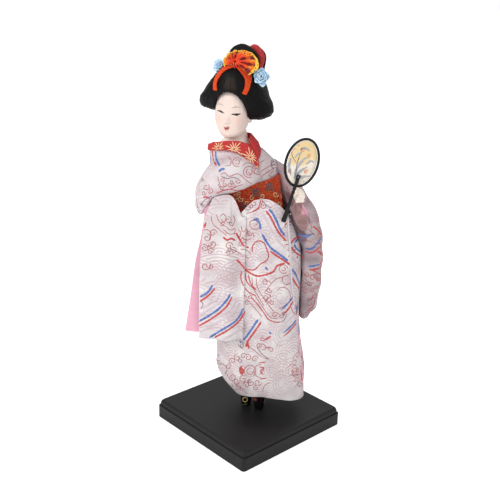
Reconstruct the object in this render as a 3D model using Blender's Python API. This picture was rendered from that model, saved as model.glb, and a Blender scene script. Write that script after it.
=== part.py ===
"""Standing doll of a dancer in a long-sleeved kimono, holding a round fan, on a square black stand.

Lengths are metres, worked out from millimetres with MM. The stand lies square to X and Y, with the
centre of its underside at the origin. The doll has a frame of its own: u to the viewer's right,
v away from the viewer, and height above the stand's top. It faces the corner between +X and -Y.
"""
import math

import bmesh
import bpy
import numpy as np
from mathutils import Euler, Matrix, Vector

MM = 0.001
GAP = 0.3 * MM
CLOTH = 1.2 * MM
LINING = 0.8 * MM
SQUARENESS = 2.3

# Stand: a square board with a rim step and a sloping shoulder
STAND_SIDE = 108 * MM
STAND_HEIGHT = 16 * MM
STAND_EDGE = 11.3 * MM
STAND_CORNER = 2.5 * MM
RIM_STEP = 1.0 * MM
SHOULDER_WIDTH = 2.0 * MM
DOLL_TURN = math.radians(45)

# Wires that stand the doll on its board, and the feet and clogs that they pass through
LEG_WIRE = 2.4 * MM
LEG_WIRE_TOP = 62 * MM
WIRE_SOCKET = 8 * MM
LEFT_STEP = (8.9 * MM, -4.6 * MM)
RIGHT_STEP = (-1.9 * MM, 0.6 * MM)
CLOG_HEIGHT = 17 * MM
CLOG_WIDTH = 10 * MM
CLOG_LENGTH = 20.5 * MM
CLOG_TOE_CUT = 3.0 * MM
FOOT_LENGTH = 19 * MM
FOOT_WIDTH = 8.5 * MM
FOOT_HEIGHT = 8 * MM
ANKLE_HEIGHT = 15 * MM
ANKLE_RADIUS = 3.6 * MM

# Outsides of the clothes: height, then the left, right, front and back of a squarish oval
SKIRT = MM * np.array([
    (14.5, -10, 44.3, -17.5, 24),
    (20, -14.5, 45.5, -19, 25.5),
    (30, -21.5, 46, -20.5, 26.5),
    (42, -24.8, 44.5, -22, 26.5),
    (57, -26.3, 41.3, -23.5, 26.5),
    (88, -27.5, 38.3, -25, 27),
    (116, -28, 38.5, -25.5, 27),
    (145, -28, 38.2, -25.5, 26),
    (158, -27, 33, -23, 22.5),
    (168, -26, 26, -20, 18),
])
PANEL_TOP = MM * np.array([
    (145, -28, 38.2, -25.5, 26),
    (158, -28, 37.5, -26.5, 26),
    (172, -27, 33, -27, 25),
    (179, -26, 30, -26, 24),
    (185, -24, 27, -22.5, 21),
])
BODICE = MM * np.array([
    (155, -22, 20.5, -15, 13),
    (170, -22, 20.8, -14.5, 13),
    (185, -21.5, 18.3, -14, 12.5),
    (196, -24, 17.2, -14.5, 12.5),
    (200, -33.5, 17.6, -15.5, 12.5),
    (205, -34.6, 16.3, -16.5, 12.5),
    (210, -34.6, 12, -16.5, 12.5),
    (215, -34.4, 6.5, -16, 12.5),
    (219, -34, 1.5, -15.5, 12),
    (222.5, -33.8, -2.2, -15.3, 11),
    (226, -33.6, -5.0, -15.2, 9),
])
HEM_WAVE = 0.9 * MM
HEM_WAVES = 7
HEM_TIP = 3.5 * MM
HEM_TIP_PLACE = math.radians(-30)
HEM_TIP_SPREAD = math.radians(22)
BACK_FOLD = 1.1 * MM
BACK_FOLDS = 9
PIPING_WIDTH = 1.3 * MM
OBI_THICKNESS = 1.6 * MM
OBI_EASE = 0.5 * MM
OBI_BOTTOM = 160 * MM
OBI_BOW_WIDTH = 34 * MM
OBI_BOW_HEIGHT = 36 * MM
OBI_BOW_DEPTH = 14 * MM
COLLAR = 1.3 * MM
CORE_BOTTOM = 38 * MM
SLOPE_ROOM = 1.2 * MM
PANEL_LIFT = 0.9 * MM
BODICE_TOP = 216 * MM

# Right edge of the skirt's front panel, and the panel's and the obi's top edges
PANEL_EDGE = MM * np.array([
    (14.5, 43.5), (36, 41.4), (60, 37.8), (88, 33.2), (103, 31.3), (116, 28.9), (134, 27.6),
    (151, 26.2), (163, 24.2), (185, 22.6),
])
PANEL_ARCH = MM * np.array([
    (-24, 160), (-9.5, 170), (-5.9, 174.5), (-0.9, 180), (5.6, 182.3), (12.2, 182.1),
    (18.2, 179.4), (22, 175.5), (24.5, 170),
])
OBI_TOP = MM * np.array([(-24, 186), (-10, 188), (-3, 190.8), (6, 193.4), (15.3, 196.7), (19, 198)])

# Sleeves, arms and hand
ARM_RADIUS = 2.8 * MM
RIGHT_ARM = MM * np.array([
    (-22.5, -0.5, 204.5), (-26, -1, 203), (-33, -4, 195), (-34, -10, 185), (-25, -18.5, 190), (-6, -20, 197.5),
])
RIGHT_SLEEVE = MM * np.array([
    (-44.2, 174, 184, -11, -5),
    (-43.2, 168.5, 189, -16, 1),
    (-40.5, 165, 194.5, -20.5, 5),
    (-36.5, 167, 200.5, -24.5, 8),
    (-32.5, 176, 206, -27, 9),
    (-27, 181, 210.5, -28.8, 8),
    (-19, 184, 212.5, -29.3, 0),
    (-10, 187.8, 211.5, -28.4, -5),
    (-3, 190.3, 208.5, -26, -8),
    (1.5, 192.3, 205.5, -22.8, -9),
    (3.6, 195, 203, -19.5, -11),
])
SLEEVE_SAG = 1.5
LEFT_ARM = MM * np.array([(6, 1, 206.5), (18.5, 2.5, 203.5), (27, 5, 190), (32.5, 1.5, 178), (33.8, -8, 180)])
LEFT_SLEEVE = MM * np.array([
    (13, 2.5, 202.3, 5.6), (20.5, 4.2, 196, 7.0), (27.5, 5.5, 186, 8.2), (32.5, 1.5, 177, 8.2), (34, -6, 174.5, 8.0),
])
LEFT_BAG = MM * np.array([
    (182, 29.5, 39, -9, 8),
    (178, 27.5, 43, -12.5, 11),
    (171, 27, 46.3, -15.5, 14),
    (160, 29, 50.5, -16, 16),
    (148, 32, 54, -13, 17),
    (135, 33.5, 55, -9.5, 18),
    (115, 35.5, 55, -7, 18.5),
    (98, 36, 54, -6, 18.5),
    (86, 37, 51, -4, 17.5),
    (79, 39.5, 47, -1, 15),
])
CUFF_PLACE = (34.6 * MM, -17.0 * MM, 168.5 * MM)
CUFF_SIZE = (6.0 * MM, 10.0 * MM, 13.0 * MM)
CUFF_LEAN = math.radians(-18)
BAG_FRONT_TOP = MM * np.array([
    (-37, 163), (-33.5, 174), (-29, 183.5), (-23.9, 186), (-17, 185.5), (-11.6, 180), (-8.5, 170),
])
BAG_FRONT_LEFT = MM * np.array([(70, -38.8), (103, -38.9), (134, -38.3), (151, -37), (165, -35.6), (184, -31)])
BAG_FRONT_RIGHT = -4.7 * MM
BAG_BOTTOM = 72 * MM
BAG_FRONT = -30.6 * MM
BAG_BULGE = 2.6 * MM
BAG_BACK = -23.2 * MM
BAG_BACK_LEFT = MM * np.array([(73, -49), (100, -45.8), (132, -42.8), (149, -39.1), (167, -36.2)])
BAG_BACK_TOP = 175 * MM
HAND_RADIUS = 4.2 * MM
HAND = MM * np.array([(33.9, -9.5, 180.4), (33.9, -14.0, 182.2), (33.6, -17.5, 185.0), (32.6, -20.6, 188.2)])

# Fan: an oval ring with a leaf, leaning to the viewer's right, and a flat handle in front of it
FAN_CENTRE = Vector((34.2 * MM, -25.2 * MM, 210.7 * MM))
FAN_LEAN = math.radians(14.3)
FAN_HALF_HEIGHT = 18.7 * MM
FAN_HALF_WIDTH = 12.6 * MM
FAN_RING = 2.0 * MM
FAN_RING_DEPTH = 1.6 * MM
FAN_LEAF = 0.6 * MM
HANDLE_LEAN = math.radians(15.5)
HANDLE_TOP = 10.6 * MM
HANDLE_LENGTH = 37 * MM
HANDLE_DEPTH = 1.8 * MM
TAB_WIDTH = 3.0 * MM
TAB_HOLE = 1.1 * MM
TAB_HOLE_PLACE = 1.8 * MM
TAB_LENGTH = 9 * MM

# Head, in its own frame: x to the viewer's right, y to the back, z up, from between the ears
HEAD_PLACE = (-16.3 * MM, -1.3 * MM, 242.8 * MM)
HEAD_TURN = math.radians(-17)
HEAD_NOD = math.radians(-1)
HEAD_TILT = math.radians(3.5)
HEAD = MM * np.array([
    (-18.4, 1.6, -11.6, -8),
    (-17.8, 3.8, -12.9, -6),
    (-16.0, 6.4, -14.0, -1),
    (-13, 8.7, -14.8, 5),
    (-8.5, 10.9, -15.1, 10.5),
    (-3, 12.3, -14.8, 14),
    (4, 12.9, -14.7, 16),
    (10, 12.4, -14.5, 16),
    (15, 10.6, -12.8, 14),
    (19, 7.0, -8.5, 9.5),
    (21, 2.4, -3.2, 3.6),
])
NOSE_HEIGHT = -5.6 * MM
NOSE = 1.9 * MM
NECK = MM * np.array([
    (-15.5, 0, 206, 4.0), (-15.5, 0, 216.5, 4.0), (-15.5, -0.5, 217, 11.2), (-15.6, -1, 220, 10.6),
    (-15.8, -1, 224, 8.2), (-16, -0.5, 229, 7.2), (-16.3, 0, 236, 7.0),
])

# Wig, in the head's frame: height, half width, front and back
WIG = MM * np.array([
    (-4.8, 16, -1, 14),
    (-4.2, 20.5, -4, 18),
    (-1.5, 25.6, -7.5, 21),
    (2.5, 28.2, -10.5, 23),
    (7, 28.0, -13.5, 24.5),
    (12, 25.4, -16, 25),
    (17, 22.4, -17.6, 25),
    (22, 19.0, -18.2, 24.5),
    (27, 15.2, -17.3, 23),
    (31, 12.2, -14.5, 20),
    (34, 7, -10.5, 15),
    (35.2, 2.4, -5, 8),
])
HAIRLINE_WIDTH = 12.2 * MM
HAIRLINE_TOP = 15.6 * MM
HAIRLINE_DEPTH = -3 * MM
TOPKNOT_PLACE = (1.8 * MM, 15.5 * MM, 28.5 * MM)
TOPKNOT_RADIUS = (13.8 * MM, 19.5 * MM)
ROLL_DEPTHS = (6.5 * MM, 7.0 * MM, 4.0 * MM)
TOPKNOT_LEAN = math.radians(12)
RIBBON_WIDTH = 3.6 * MM
RIBBON = 0.8 * MM
LEFT_RIBBON = MM * np.array([(0.4, 33.5), (-3.6, 31.6), (-8.6, 25.6), (-10.4, 20.0), (-10.0, 15.4)])
RIGHT_RIBBON = MM * np.array([(4.6, 33.2), (8.6, 30.0), (12.4, 25.0), (12.9, 19.4), (11.6, 15.2)])
BOW_CENTRE = Vector((1.8 * MM, -11.2 * MM, 35.0 * MM))
BOW_REACH = np.array([(-35, 13), (0, 17.5), (35, 14.5), (80, 10.5), (120, 10), (160, 10), (200, 8.5), (235, 4)])
BOW_TILT = math.radians(-28)
BOW_THICKNESS = 2.4 * MM
BOW_PLEAT = 0.7 * MM
BOW_PLEATS = 11
KNOT_RADIUS = 2.4 * MM
LEFT_FLOWER = (Vector((-12.4 * MM, -6 * MM, 32.2 * MM)), 4.8 * MM)
RIGHT_FLOWER = (Vector((20.6 * MM, -6.5 * MM, 28.3 * MM)), 5.6 * MM)


def curve(table, place):
    """The row of sizes at a place, on a smooth line without overshoot through a table's rows."""
    places, sizes = table[:, 0], table[:, 1:]
    span = np.diff(places)[:, None]
    rise = np.diff(sizes, axis=0) / span
    slope = np.zeros_like(sizes)
    slope[0], slope[-1] = rise[0], rise[-1]
    steady = rise[:-1] * rise[1:] > 0
    slope[1:-1][steady] = 2 * (rise[:-1] * rise[1:])[steady] / (rise[:-1] + rise[1:])[steady]
    i = int(np.clip(np.searchsorted(places, place) - 1, 0, len(places) - 2))
    t = float(np.clip((place - places[i]) / span[i, 0], 0, 1))
    ends = (1 + 2 * t) * (1 - t) ** 2 * sizes[i] + t * t * (3 - 2 * t) * sizes[i + 1]
    return ends + span[i, 0] * (t * (1 - t) ** 2 * slope[i] - t * t * (1 - t) * slope[i + 1])


def path_point(points, share):
    """A point on a smooth curve through points, at a share of its length from 0 to 1."""
    reach = np.concatenate([[0], np.cumsum(np.linalg.norm(np.diff(points[:, :3], axis=0), axis=1))])
    return curve(np.column_stack([reach / reach[-1], points]), share)


def oval(sides, angle):
    """A point of a squarish oval with the given left, right, front and back; angle 0 is to the right."""
    left, right, front, back = sides
    c, s = math.cos(angle), math.sin(angle)
    power = 2 / SQUARENESS
    return np.array([(left + right) / 2 + (right - left) / 2 * math.copysign(abs(c) ** power, c),
                     (front + back) / 2 + (back - front) / 2 * math.copysign(abs(s) ** power, s)])


def offset_point(surface, s, t, distance):
    """A point of a surface, moved outward by a distance."""
    step = 0.05 * MM
    across = surface(s + step / (10 * MM), t) - surface(s - step / (10 * MM), t)
    along = surface(s, t + step) - surface(s, t - step)
    normal = np.cross(across, along)
    return surface(s, t) + distance * normal / np.linalg.norm(normal)


def material(name, colour, roughness, metallic=0.0):
    """A Principled material of one colour."""
    made = bpy.data.materials.new(name)
    made.use_nodes = True
    shader = made.node_tree.nodes["Principled BSDF"]
    shader.inputs["Base Color"].default_value = (*colour, 1)
    shader.inputs["Roughness"].default_value = roughness
    shader.inputs["Metallic"].default_value = metallic
    return made


def add_object(name, points, faces, finish, parent):
    """A mesh object from points and faces, with its normals turned out and its large faces split."""
    mesh = bpy.data.meshes.new(name)
    mesh.from_pydata([tuple(p) for p in points], [], faces)
    tidy = bmesh.new()
    tidy.from_mesh(mesh)
    bmesh.ops.triangulate(tidy, faces=[f for f in tidy.faces if len(f.verts) > 4])
    bmesh.ops.recalc_face_normals(tidy, faces=tidy.faces[:])
    tidy.to_mesh(mesh)
    tidy.free()
    mesh.shade_smooth()
    mesh.set_sharp_from_angle(angle=math.radians(40))
    made = bpy.data.objects.new(name, mesh)
    made.parent = parent
    bpy.context.collection.objects.link(made)
    mesh.materials.append(finish)
    return made


def loft(name, rings, finish, parent):
    """A closed solid through rings of points, with a flat cap at each end."""
    count = len(rings[0])
    points = [p for ring in rings for p in ring]
    faces = [tuple(range(count)), tuple(range(len(points) - count, len(points)))]
    for j in range(len(rings) - 1):
        for i in range(count):
            k = (i + 1) % count
            faces.append((j * count + i, j * count + k, (j + 1) * count + k, (j + 1) * count + i))
    return add_object(name, points, faces, finish, parent)


def sheet(name, surface, region, counts, offsets, finish, parent, closed=False):
    """A closed layer between two offsets of a surface, over a region or, if closed, all the way round."""
    columns, rows = counts
    across = columns if closed else columns + 1
    points = []
    for distance in offsets:
        for j in range(rows + 1):
            points += [offset_point(surface, *region(i / columns, j / rows), distance) for i in range(across)]
    layer = across * (rows + 1)
    faces = []
    for j in range(rows):
        for i in range(columns):
            a, b = j * across + i, j * across + (i + 1) % across
            faces.append((a, b, b + across, a + across))
            faces.append((layer + a, layer + a + across, layer + b + across, layer + b))
    for j in (0, rows):
        for i in range(columns):
            a, b = j * across + i, j * across + (i + 1) % across
            faces.append((a, b, b + layer, a + layer))
    if not closed:
        for i in (0, columns):
            for j in range(rows):
                a, b = j * across + i, (j + 1) * across + i
                faces.append((a, b, b + layer, a + layer))
    return add_object(name, points, faces, finish, parent)


def tube_rings(points, radii, sides=14, rounded=True):
    """Rings along a curve, square to it, with rounded ends if wanted."""
    points = [Vector(p) for p in points]
    rings = []
    last = len(points) - 1
    normal = None
    for i, point in enumerate(points):
        tangent = (points[min(i + 1, last)] - points[max(i - 1, 0)]).normalized()
        normal = tangent.orthogonal() if normal is None else normal - tangent * normal.dot(tangent)
        normal.normalize()
        side = tangent.cross(normal)
        steps = [(0.0, 1.0)]
        if rounded and i == 0:
            steps = [(-0.55, 0.45), (-0.35, 0.8), (0.0, 1.0)]
        elif rounded and i == last:
            steps = [(0.0, 1.0), (0.35, 0.8), (0.55, 0.45)]
        for along, scale in steps:
            centre = point + tangent * along * radii[i]
            ring = []
            for k in range(sides):
                turn = 2 * math.pi * k / sides
                ring.append(centre + radii[i] * scale * (normal * math.cos(turn) + side * math.sin(turn)))
            rings.append(ring)
    return rings


def tube(name, path, count, finish, parent, radius=None, sides=14, rounded=True):
    """A round solid along a smooth curve through a path; a fourth column is its radius."""
    samples = [path_point(path, i / (count - 1)) for i in range(count)]
    radii = [radius if radius else float(s[3]) for s in samples]
    return loft(name, tube_rings([s[:3] for s in samples], radii, sides, rounded), finish, parent)


def evaluated_mesh(source):
    """A source object's mesh in world space, with its modifiers, as a bmesh."""
    graph = bpy.context.evaluated_depsgraph_get()
    copy = bmesh.new()
    copy.from_mesh(source.evaluated_get(graph).to_mesh())
    copy.transform(source.matrix_world)
    return copy


def boolean(piece, cutter_mesh, operation):
    """Joins a world-space bmesh to a piece or cuts it away, and keeps the largest body."""
    mesh = bpy.data.meshes.new("cutter")
    cutter_mesh.to_mesh(mesh)
    cutter_mesh.free()
    cutter = bpy.data.objects.new("cutter", mesh)
    bpy.context.collection.objects.link(cutter)
    change = piece.modifiers.new("change", "BOOLEAN")
    change.operation = operation
    change.object = cutter
    change.solver = "EXACT"
    graph = bpy.context.evaluated_depsgraph_get()
    result = bmesh.new()
    result.from_mesh(piece.evaluated_get(graph).to_mesh())
    keep_largest(result)
    bmesh.ops.triangulate(result, faces=[f for f in result.faces if len(f.verts) > 4])
    piece.modifiers.remove(change)
    result.to_mesh(piece.data)
    result.free()
    piece.data.shade_smooth()
    piece.data.set_sharp_from_angle(angle=math.radians(40))
    bpy.data.objects.remove(cutter)


def keep_largest(solid):
    """Deletes all but the largest connected body of a bmesh."""
    left = set(solid.verts)
    bodies = []
    while left:
        body, edge = set(), [left.pop()]
        while edge:
            vert = edge.pop()
            body.add(vert)
            for link in vert.link_edges:
                other = link.other_vert(vert)
                if other in left:
                    left.discard(other)
                    edge.append(other)
        bodies.append(body)
    bodies.sort(key=len, reverse=True)
    for body in bodies[1:]:
        bmesh.ops.delete(solid, geom=list(body), context="VERTS")


def carve(piece, *others):
    """Cuts room for other pieces into a piece, with the usual gap."""
    for other in others:
        room = evaluated_mesh(other)
        room.normal_update()
        moves = [vert.normal * GAP * 1.15 for vert in room.verts]
        for vert, move in zip(room.verts, moves):
            vert.co += move
        boolean(piece, room, "DIFFERENCE")


def bore(piece, place, radius, bottom, top, sides=16):
    """Drills an upright round hole through a piece of the doll, between two heights."""
    cutter = bmesh.new()
    bmesh.ops.create_cone(cutter, cap_ends=True, segments=sides, radius1=radius, radius2=radius,
                          depth=top - bottom)
    cutter.transform(DOLL @ Matrix.Translation((*place, (top + bottom) / 2)))
    boolean(piece, cutter, "DIFFERENCE")


def skirt_surface(angle, height):
    """The skirt's outside, with soft folds down its back."""
    u, v = oval(curve(SKIRT, height), angle)
    fold = BACK_FOLD * max(0.0, math.sin(angle)) * math.sin(BACK_FOLDS * angle)
    fade = min(1.0, max(0.0, (SKIRT[-2, 0] - height) / SKIRT[-2, 0]))
    return np.array([u + fold * fade * math.cos(angle), v + fold * fade * math.sin(angle), height])


def panel_surface(angle, height):
    """The outside of the skirt's front, which stands puffed above the waist."""
    if height < PANEL_TOP[0, 0]:
        return skirt_surface(angle, height)
    return np.array([*oval(curve(PANEL_TOP, height), angle), height])


def bodice_surface(angle, height):
    """The outside of the kimono above the waist."""
    return np.array([*oval(curve(BODICE, height), angle), height])


def front_angle(sides, u):
    """The angle at which an oval's front half passes a place u."""
    left, right = sides[:2]
    share = np.clip((u - (left + right) / 2) / ((right - left) / 2), -1, 1)
    turned = math.copysign(abs(share) ** (SQUARENESS / 2), share)
    return -math.acos(turned)


def hem(angle):
    """The height of the skirt's wavy lower edge."""
    tip = HEM_TIP * math.exp(-((angle - HEM_TIP_PLACE) / HEM_TIP_SPREAD) ** 2)
    return SKIRT[0, 0] + HEM_WAVE * (1 + math.sin(HEM_WAVES * angle)) - tip


def make_stand():
    """The square board that the doll stands on."""
    slope = STAND_HEIGHT - STAND_EDGE - RIM_STEP
    outline = [(0.4 * MM, 0), (0, 0.4 * MM), (0, STAND_EDGE - 0.4 * MM), (0.4 * MM, STAND_EDGE),
               (RIM_STEP, STAND_EDGE), (RIM_STEP, STAND_EDGE + RIM_STEP)]
    for step in range(1, 6):
        turn = math.radians(90) * step / 5
        outline.append((RIM_STEP + SHOULDER_WIDTH * (1 - math.cos(turn)),
                        STAND_EDGE + RIM_STEP + slope * math.sin(turn)))
    rings = []
    for inset, height in outline:
        half, radius = STAND_SIDE / 2 - inset, STAND_CORNER
        ring = []
        for corner in range(4):
            for step in range(5):
                turn = math.radians(90) * (corner + step / 4)
                middle = math.radians(90) * corner + math.radians(45)
                ring.append((
                    math.copysign(half - radius, math.cos(middle)) + radius * math.cos(turn),
                    math.copysign(half - radius, math.sin(middle)) + radius * math.sin(turn),
                    height,
                ))
        rings.append(ring)
    stand = loft("stand", rings, STAND_BLACK, None)
    for place in (LEFT_STEP, RIGHT_STEP):
        bore(stand, place, LEG_WIRE / 2 + GAP, -WIRE_SOCKET, 2 * GAP)


def rounded_box(place, half_width, front, back, height, corner):
    """A ring of a box with rounded upright corners, about a place."""
    ring = []
    for c, (sign_u, end) in enumerate([(1, back), (-1, back), (-1, front), (1, front)]):
        sign_v = 1 if end == back else -1
        for step in range(4):
            turn = math.radians(90) * (c + step / 3)
            ring.append((
                place[0] + sign_u * (half_width - corner) + corner * math.cos(turn),
                place[1] + end - sign_v * corner + corner * math.sin(turn),
                height,
            ))
    return ring


def make_feet(side, place, parent):
    """One tall lacquered clog with its foot in a white sock, threaded on its wire."""
    back = CLOG_LENGTH / 2
    clog_rings = []
    for share, narrow in ((0.0, 1.6 * MM), (0.06, 1.0 * MM), (0.5, 0.5 * MM), (0.94, 0.0), (1.0, 0.4 * MM)):
        front = -CLOG_LENGTH / 2 + CLOG_TOE_CUT * (1 - share) ** 1.5
        clog_rings.append(rounded_box(place, CLOG_WIDTH / 2 - narrow, front + narrow, back - narrow,
                                      GAP + share * CLOG_HEIGHT, 2.4 * MM))
    clog = loft("clog_" + side, clog_rings, LACQUER, parent)
    sole = CLOG_HEIGHT + 2 * GAP
    foot_rings = []
    for share, length, width in ((0.0, 0.92, 0.9), (0.12, 1.0, 1.0), (0.45, 0.9, 0.96), (0.75, 0.66, 0.86)):
        centre_v = place[1] - (length - 1) * FOOT_LENGTH * 0.42
        foot_rings.append([(place[0] + FOOT_WIDTH / 2 * width * math.cos(a),
                            centre_v + FOOT_LENGTH / 2 * length * math.sin(a), sole + share * FOOT_HEIGHT)
                           for a in np.linspace(0, 2 * math.pi, 16, endpoint=False)])
    for height in (FOOT_HEIGHT * 1.15, ANKLE_HEIGHT):
        foot_rings.append([(place[0] + ANKLE_RADIUS * math.cos(a), place[1] + ANKLE_RADIUS * math.sin(a),
                            sole + height) for a in np.linspace(0, 2 * math.pi, 16, endpoint=False)])
    foot = loft("foot_" + side, foot_rings, SOCK_WHITE, parent)
    bore(clog, place, LEG_WIRE / 2 + GAP, -GAP, CLOG_HEIGHT + 4 * GAP)
    bore(foot, place, LEG_WIRE / 2 + GAP, CLOG_HEIGHT, 2 * CLOG_HEIGHT + FOOT_HEIGHT)
    wire = [[(place[0] + LEG_WIRE / 2 * math.cos(a), place[1] + LEG_WIRE / 2 * math.sin(a), height)
             for a in np.linspace(0, 2 * math.pi, 12, endpoint=False)]
            for height in (GAP - WIRE_SOCKET, LEG_WIRE_TOP)]
    loft("leg_wire_" + side, wire, STEEL, parent)


def shrink(sides, distance):
    """The sides of an oval, all moved in by a distance."""
    left, right, front, back = sides
    return left + distance, right - distance, front + distance, back - distance


def make_core(parent):
    """The stuffed body inside the clothes, with sockets for the neck and the leg wires."""
    waist = BODICE[0, 0]
    inset = CLOTH + GAP + BACK_FOLD
    heights = [CORE_BOTTOM, CORE_BOTTOM + 4 * MM, 60 * MM, 85 * MM, 112 * MM, 132 * MM, waist - 12 * MM]
    rings = []
    for height in heights:
        extra = 4 * MM if height == CORE_BOTTOM else 0
        sides = shrink(curve(SKIRT, height), inset + extra)
        rings.append([(*oval(sides, a), height) for a in np.linspace(0, 2 * math.pi, 20, endpoint=False)])
    for height in (waist - 6 * MM, waist, 170 * MM, 185 * MM, 194 * MM, 200 * MM, 206 * MM, 210 * MM):
        sides = shrink(curve(BODICE, height), CLOTH + GAP + (SLOPE_ROOM if height > 180 * MM else 0))
        if height > 196 * MM:
            sides = (max(sides[0], -26 * MM), *sides[1:])
        rings.append([(*oval(sides, a), height) for a in np.linspace(0, 2 * math.pi, 20, endpoint=False)])
    core = loft("body_core", rings, STUFFING, parent)
    for place in (LEFT_STEP, RIGHT_STEP):
        bore(core, place, LEG_WIRE / 2 + GAP, CORE_BOTTOM - MM, LEG_WIRE_TOP + GAP)
    bore(core, NECK[0, :2], NECK[0, 3] + GAP, NECK[0, 2] - GAP, 2 * NECK[0, 2])
    return core


def make_skirt(parent):
    """The wrapped skirt, its front panel that stands puffed above the waist, and the panel's piping."""
    top = SKIRT[-1, 0]

    def all_round(a, b):
        angle = 2 * math.pi * a - math.pi
        return angle, hem(angle) + (top - hem(angle)) * b

    skirt = sheet("skirt", skirt_surface, all_round, (36, 11), (-CLOTH, 0), KIMONO, parent, closed=True)

    def edge_angle(height):
        sides = curve(SKIRT if height < PANEL_TOP[0, 0] else PANEL_TOP, height)
        return front_angle(sides, curve(PANEL_EDGE, height)[0])

    def panel_region(a, b):
        left = math.radians(-175)
        height = hem(left) + MM
        for _ in range(3):
            angle = left + (edge_angle(height) - left) * a
            arch = curve(PANEL_ARCH, panel_surface(angle, 172 * MM)[0])[0]
            low = hem(angle) - 0.6 * MM
            height = low + (arch - low) * b
        return angle, height

    layers = (PANEL_LIFT, PANEL_LIFT + CLOTH)
    panel = sheet("skirt_front_panel", panel_surface, panel_region, (16, 14), layers, KIMONO, parent)

    def piping_region(a, b):
        angle, height = panel_region(1.0, 0.97 * b)
        radius = 20 * MM
        return angle + (GAP + PIPING_WIDTH * a) / radius, height

    sheet("skirt_piping", panel_surface, piping_region, (1, 14), (PANEL_LIFT, PANEL_LIFT + LINING), PINK, parent)
    return skirt, panel


def make_bodice(parent):
    """The kimono's upper part, its two red collar bands and the crossing front panel."""
    low, high = BODICE[0, 0], BODICE_TOP

    def all_round(a, b):
        return 2 * math.pi * a - math.pi, low + (high - low) * b

    bodice = sheet("bodice", bodice_surface, all_round, (26, 9), (-CLOTH, 0), KIMONO, parent, closed=True)

    def between(upper, lower):
        """A region between an upper and a lower edge, each a table of angle and height."""
        def region(a, b):
            low_point, high_point = path_point(spaced(lower), a), path_point(spaced(upper), a)
            angle, height = low_point[:2] * (1 - b) + high_point[:2] * b
            return angle, height
        return region

    def spaced(table):
        return np.column_stack([table, np.zeros(len(table))])

    def edge(*points):
        """Places on the bodice's front from pairs of u and height, as angle and height."""
        rows = [(front_angle(curve(BODICE, z * MM), u * MM), z * MM) for u, z in points]
        return np.array(rows)

    upper = np.vstack([
        [(math.radians(-225), 214.5 * MM), (math.radians(-202), 216.8 * MM), (math.radians(-180), 219.4 * MM)],
        edge((-29, 220.2), (-21, 221.6), (-14, 222.0), (-8.8, 220.8), (-4.6, 219.6), (1.6, 212), (2.9, 206)),
    ])
    lower = np.vstack([
        [(math.radians(-225), 208.5 * MM), (math.radians(-202), 211 * MM), (math.radians(-180), 213.2 * MM)],
        edge((-30, 213.8), (-22, 214.9), (-15, 213.8), (-8.6, 211.6), (-4.1, 208.5), (0.2, 204.6), (2.2, 203.2)),
    ])
    layers = (GAP, GAP + COLLAR)
    front_band = sheet("collar_front", bodice_surface, between(upper, lower), (24, 3), layers, RED_BROCADE, parent)
    notch = upper[-3] + np.array([0.07, 0.3 * MM])
    foot = upper[-1] + np.array([0.08, 2.0 * MM])
    upper = np.vstack([notch, [(math.radians(degrees), height * MM) for degrees, height in (
        (-35, 223.6), (0, 225.6), (50, 225.2), (100, 219.5), (134, 214.5))]])
    lower = np.vstack([foot, [(math.radians(degrees), height * MM) for degrees, height in (
        (-24, 214), (0, 218.4), (50, 218), (100, 213.5), (134, 208.5))]])

    def nape_region(a, b):
        angle, height = between(upper, lower)(a, b)
        return angle + 0.18 * math.sin(math.pi * b) * (1 - a) ** 6, height

    nape_band = sheet("collar_nape", bodice_surface, nape_region, (24, 3), layers, RED_CLOTH, parent)
    return bodice, front_band, nape_band


def make_obi(parent):
    """The wide waist sash and its padded bow at the back."""
    def region(a, b):
        angle = 2 * math.pi * a - math.pi
        u = bodice_surface(angle, 190 * MM)[0]
        return angle, OBI_BOTTOM + (curve(OBI_TOP, u)[0] - OBI_BOTTOM) * b

    layers = (OBI_EASE, OBI_EASE + OBI_THICKNESS)
    obi = sheet("obi", bodice_surface, region, (28, 5), layers, OBI_RED, parent, closed=True)
    back = max(BODICE[:3, 4]) + 3 * GAP + OBI_THICKNESS
    centre_u = float(np.mean(curve(BODICE, 180 * MM)[:2]))
    bottom = SKIRT[-1, 0] + 2 * MM
    rings = []
    for share, inset in ((0, 2.4), (0.06, 0.7), (0.3, 0), (0.52, 0.9), (0.6, 0.2), (0.94, 0.7), (1, 2.4)):
        rings.append(rounded_box((centre_u, back + OBI_BOW_DEPTH / 2), OBI_BOW_WIDTH / 2 - inset * MM,
                                 -OBI_BOW_DEPTH / 2, OBI_BOW_DEPTH / 2 - inset * MM,
                                 bottom + share * OBI_BOW_HEIGHT, 3.2 * MM))
    loft("obi_bow", rings, OBI_RED, parent)
    return obi


def make_arms(parent):
    """The padded wire arms inside the sleeves."""
    return [tube("arm_" + side, path, 12, STUFFING, parent, radius=ARM_RADIUS, sides=10)
            for side, path in (("right", RIGHT_ARM), ("left", LEFT_ARM))]


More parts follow.
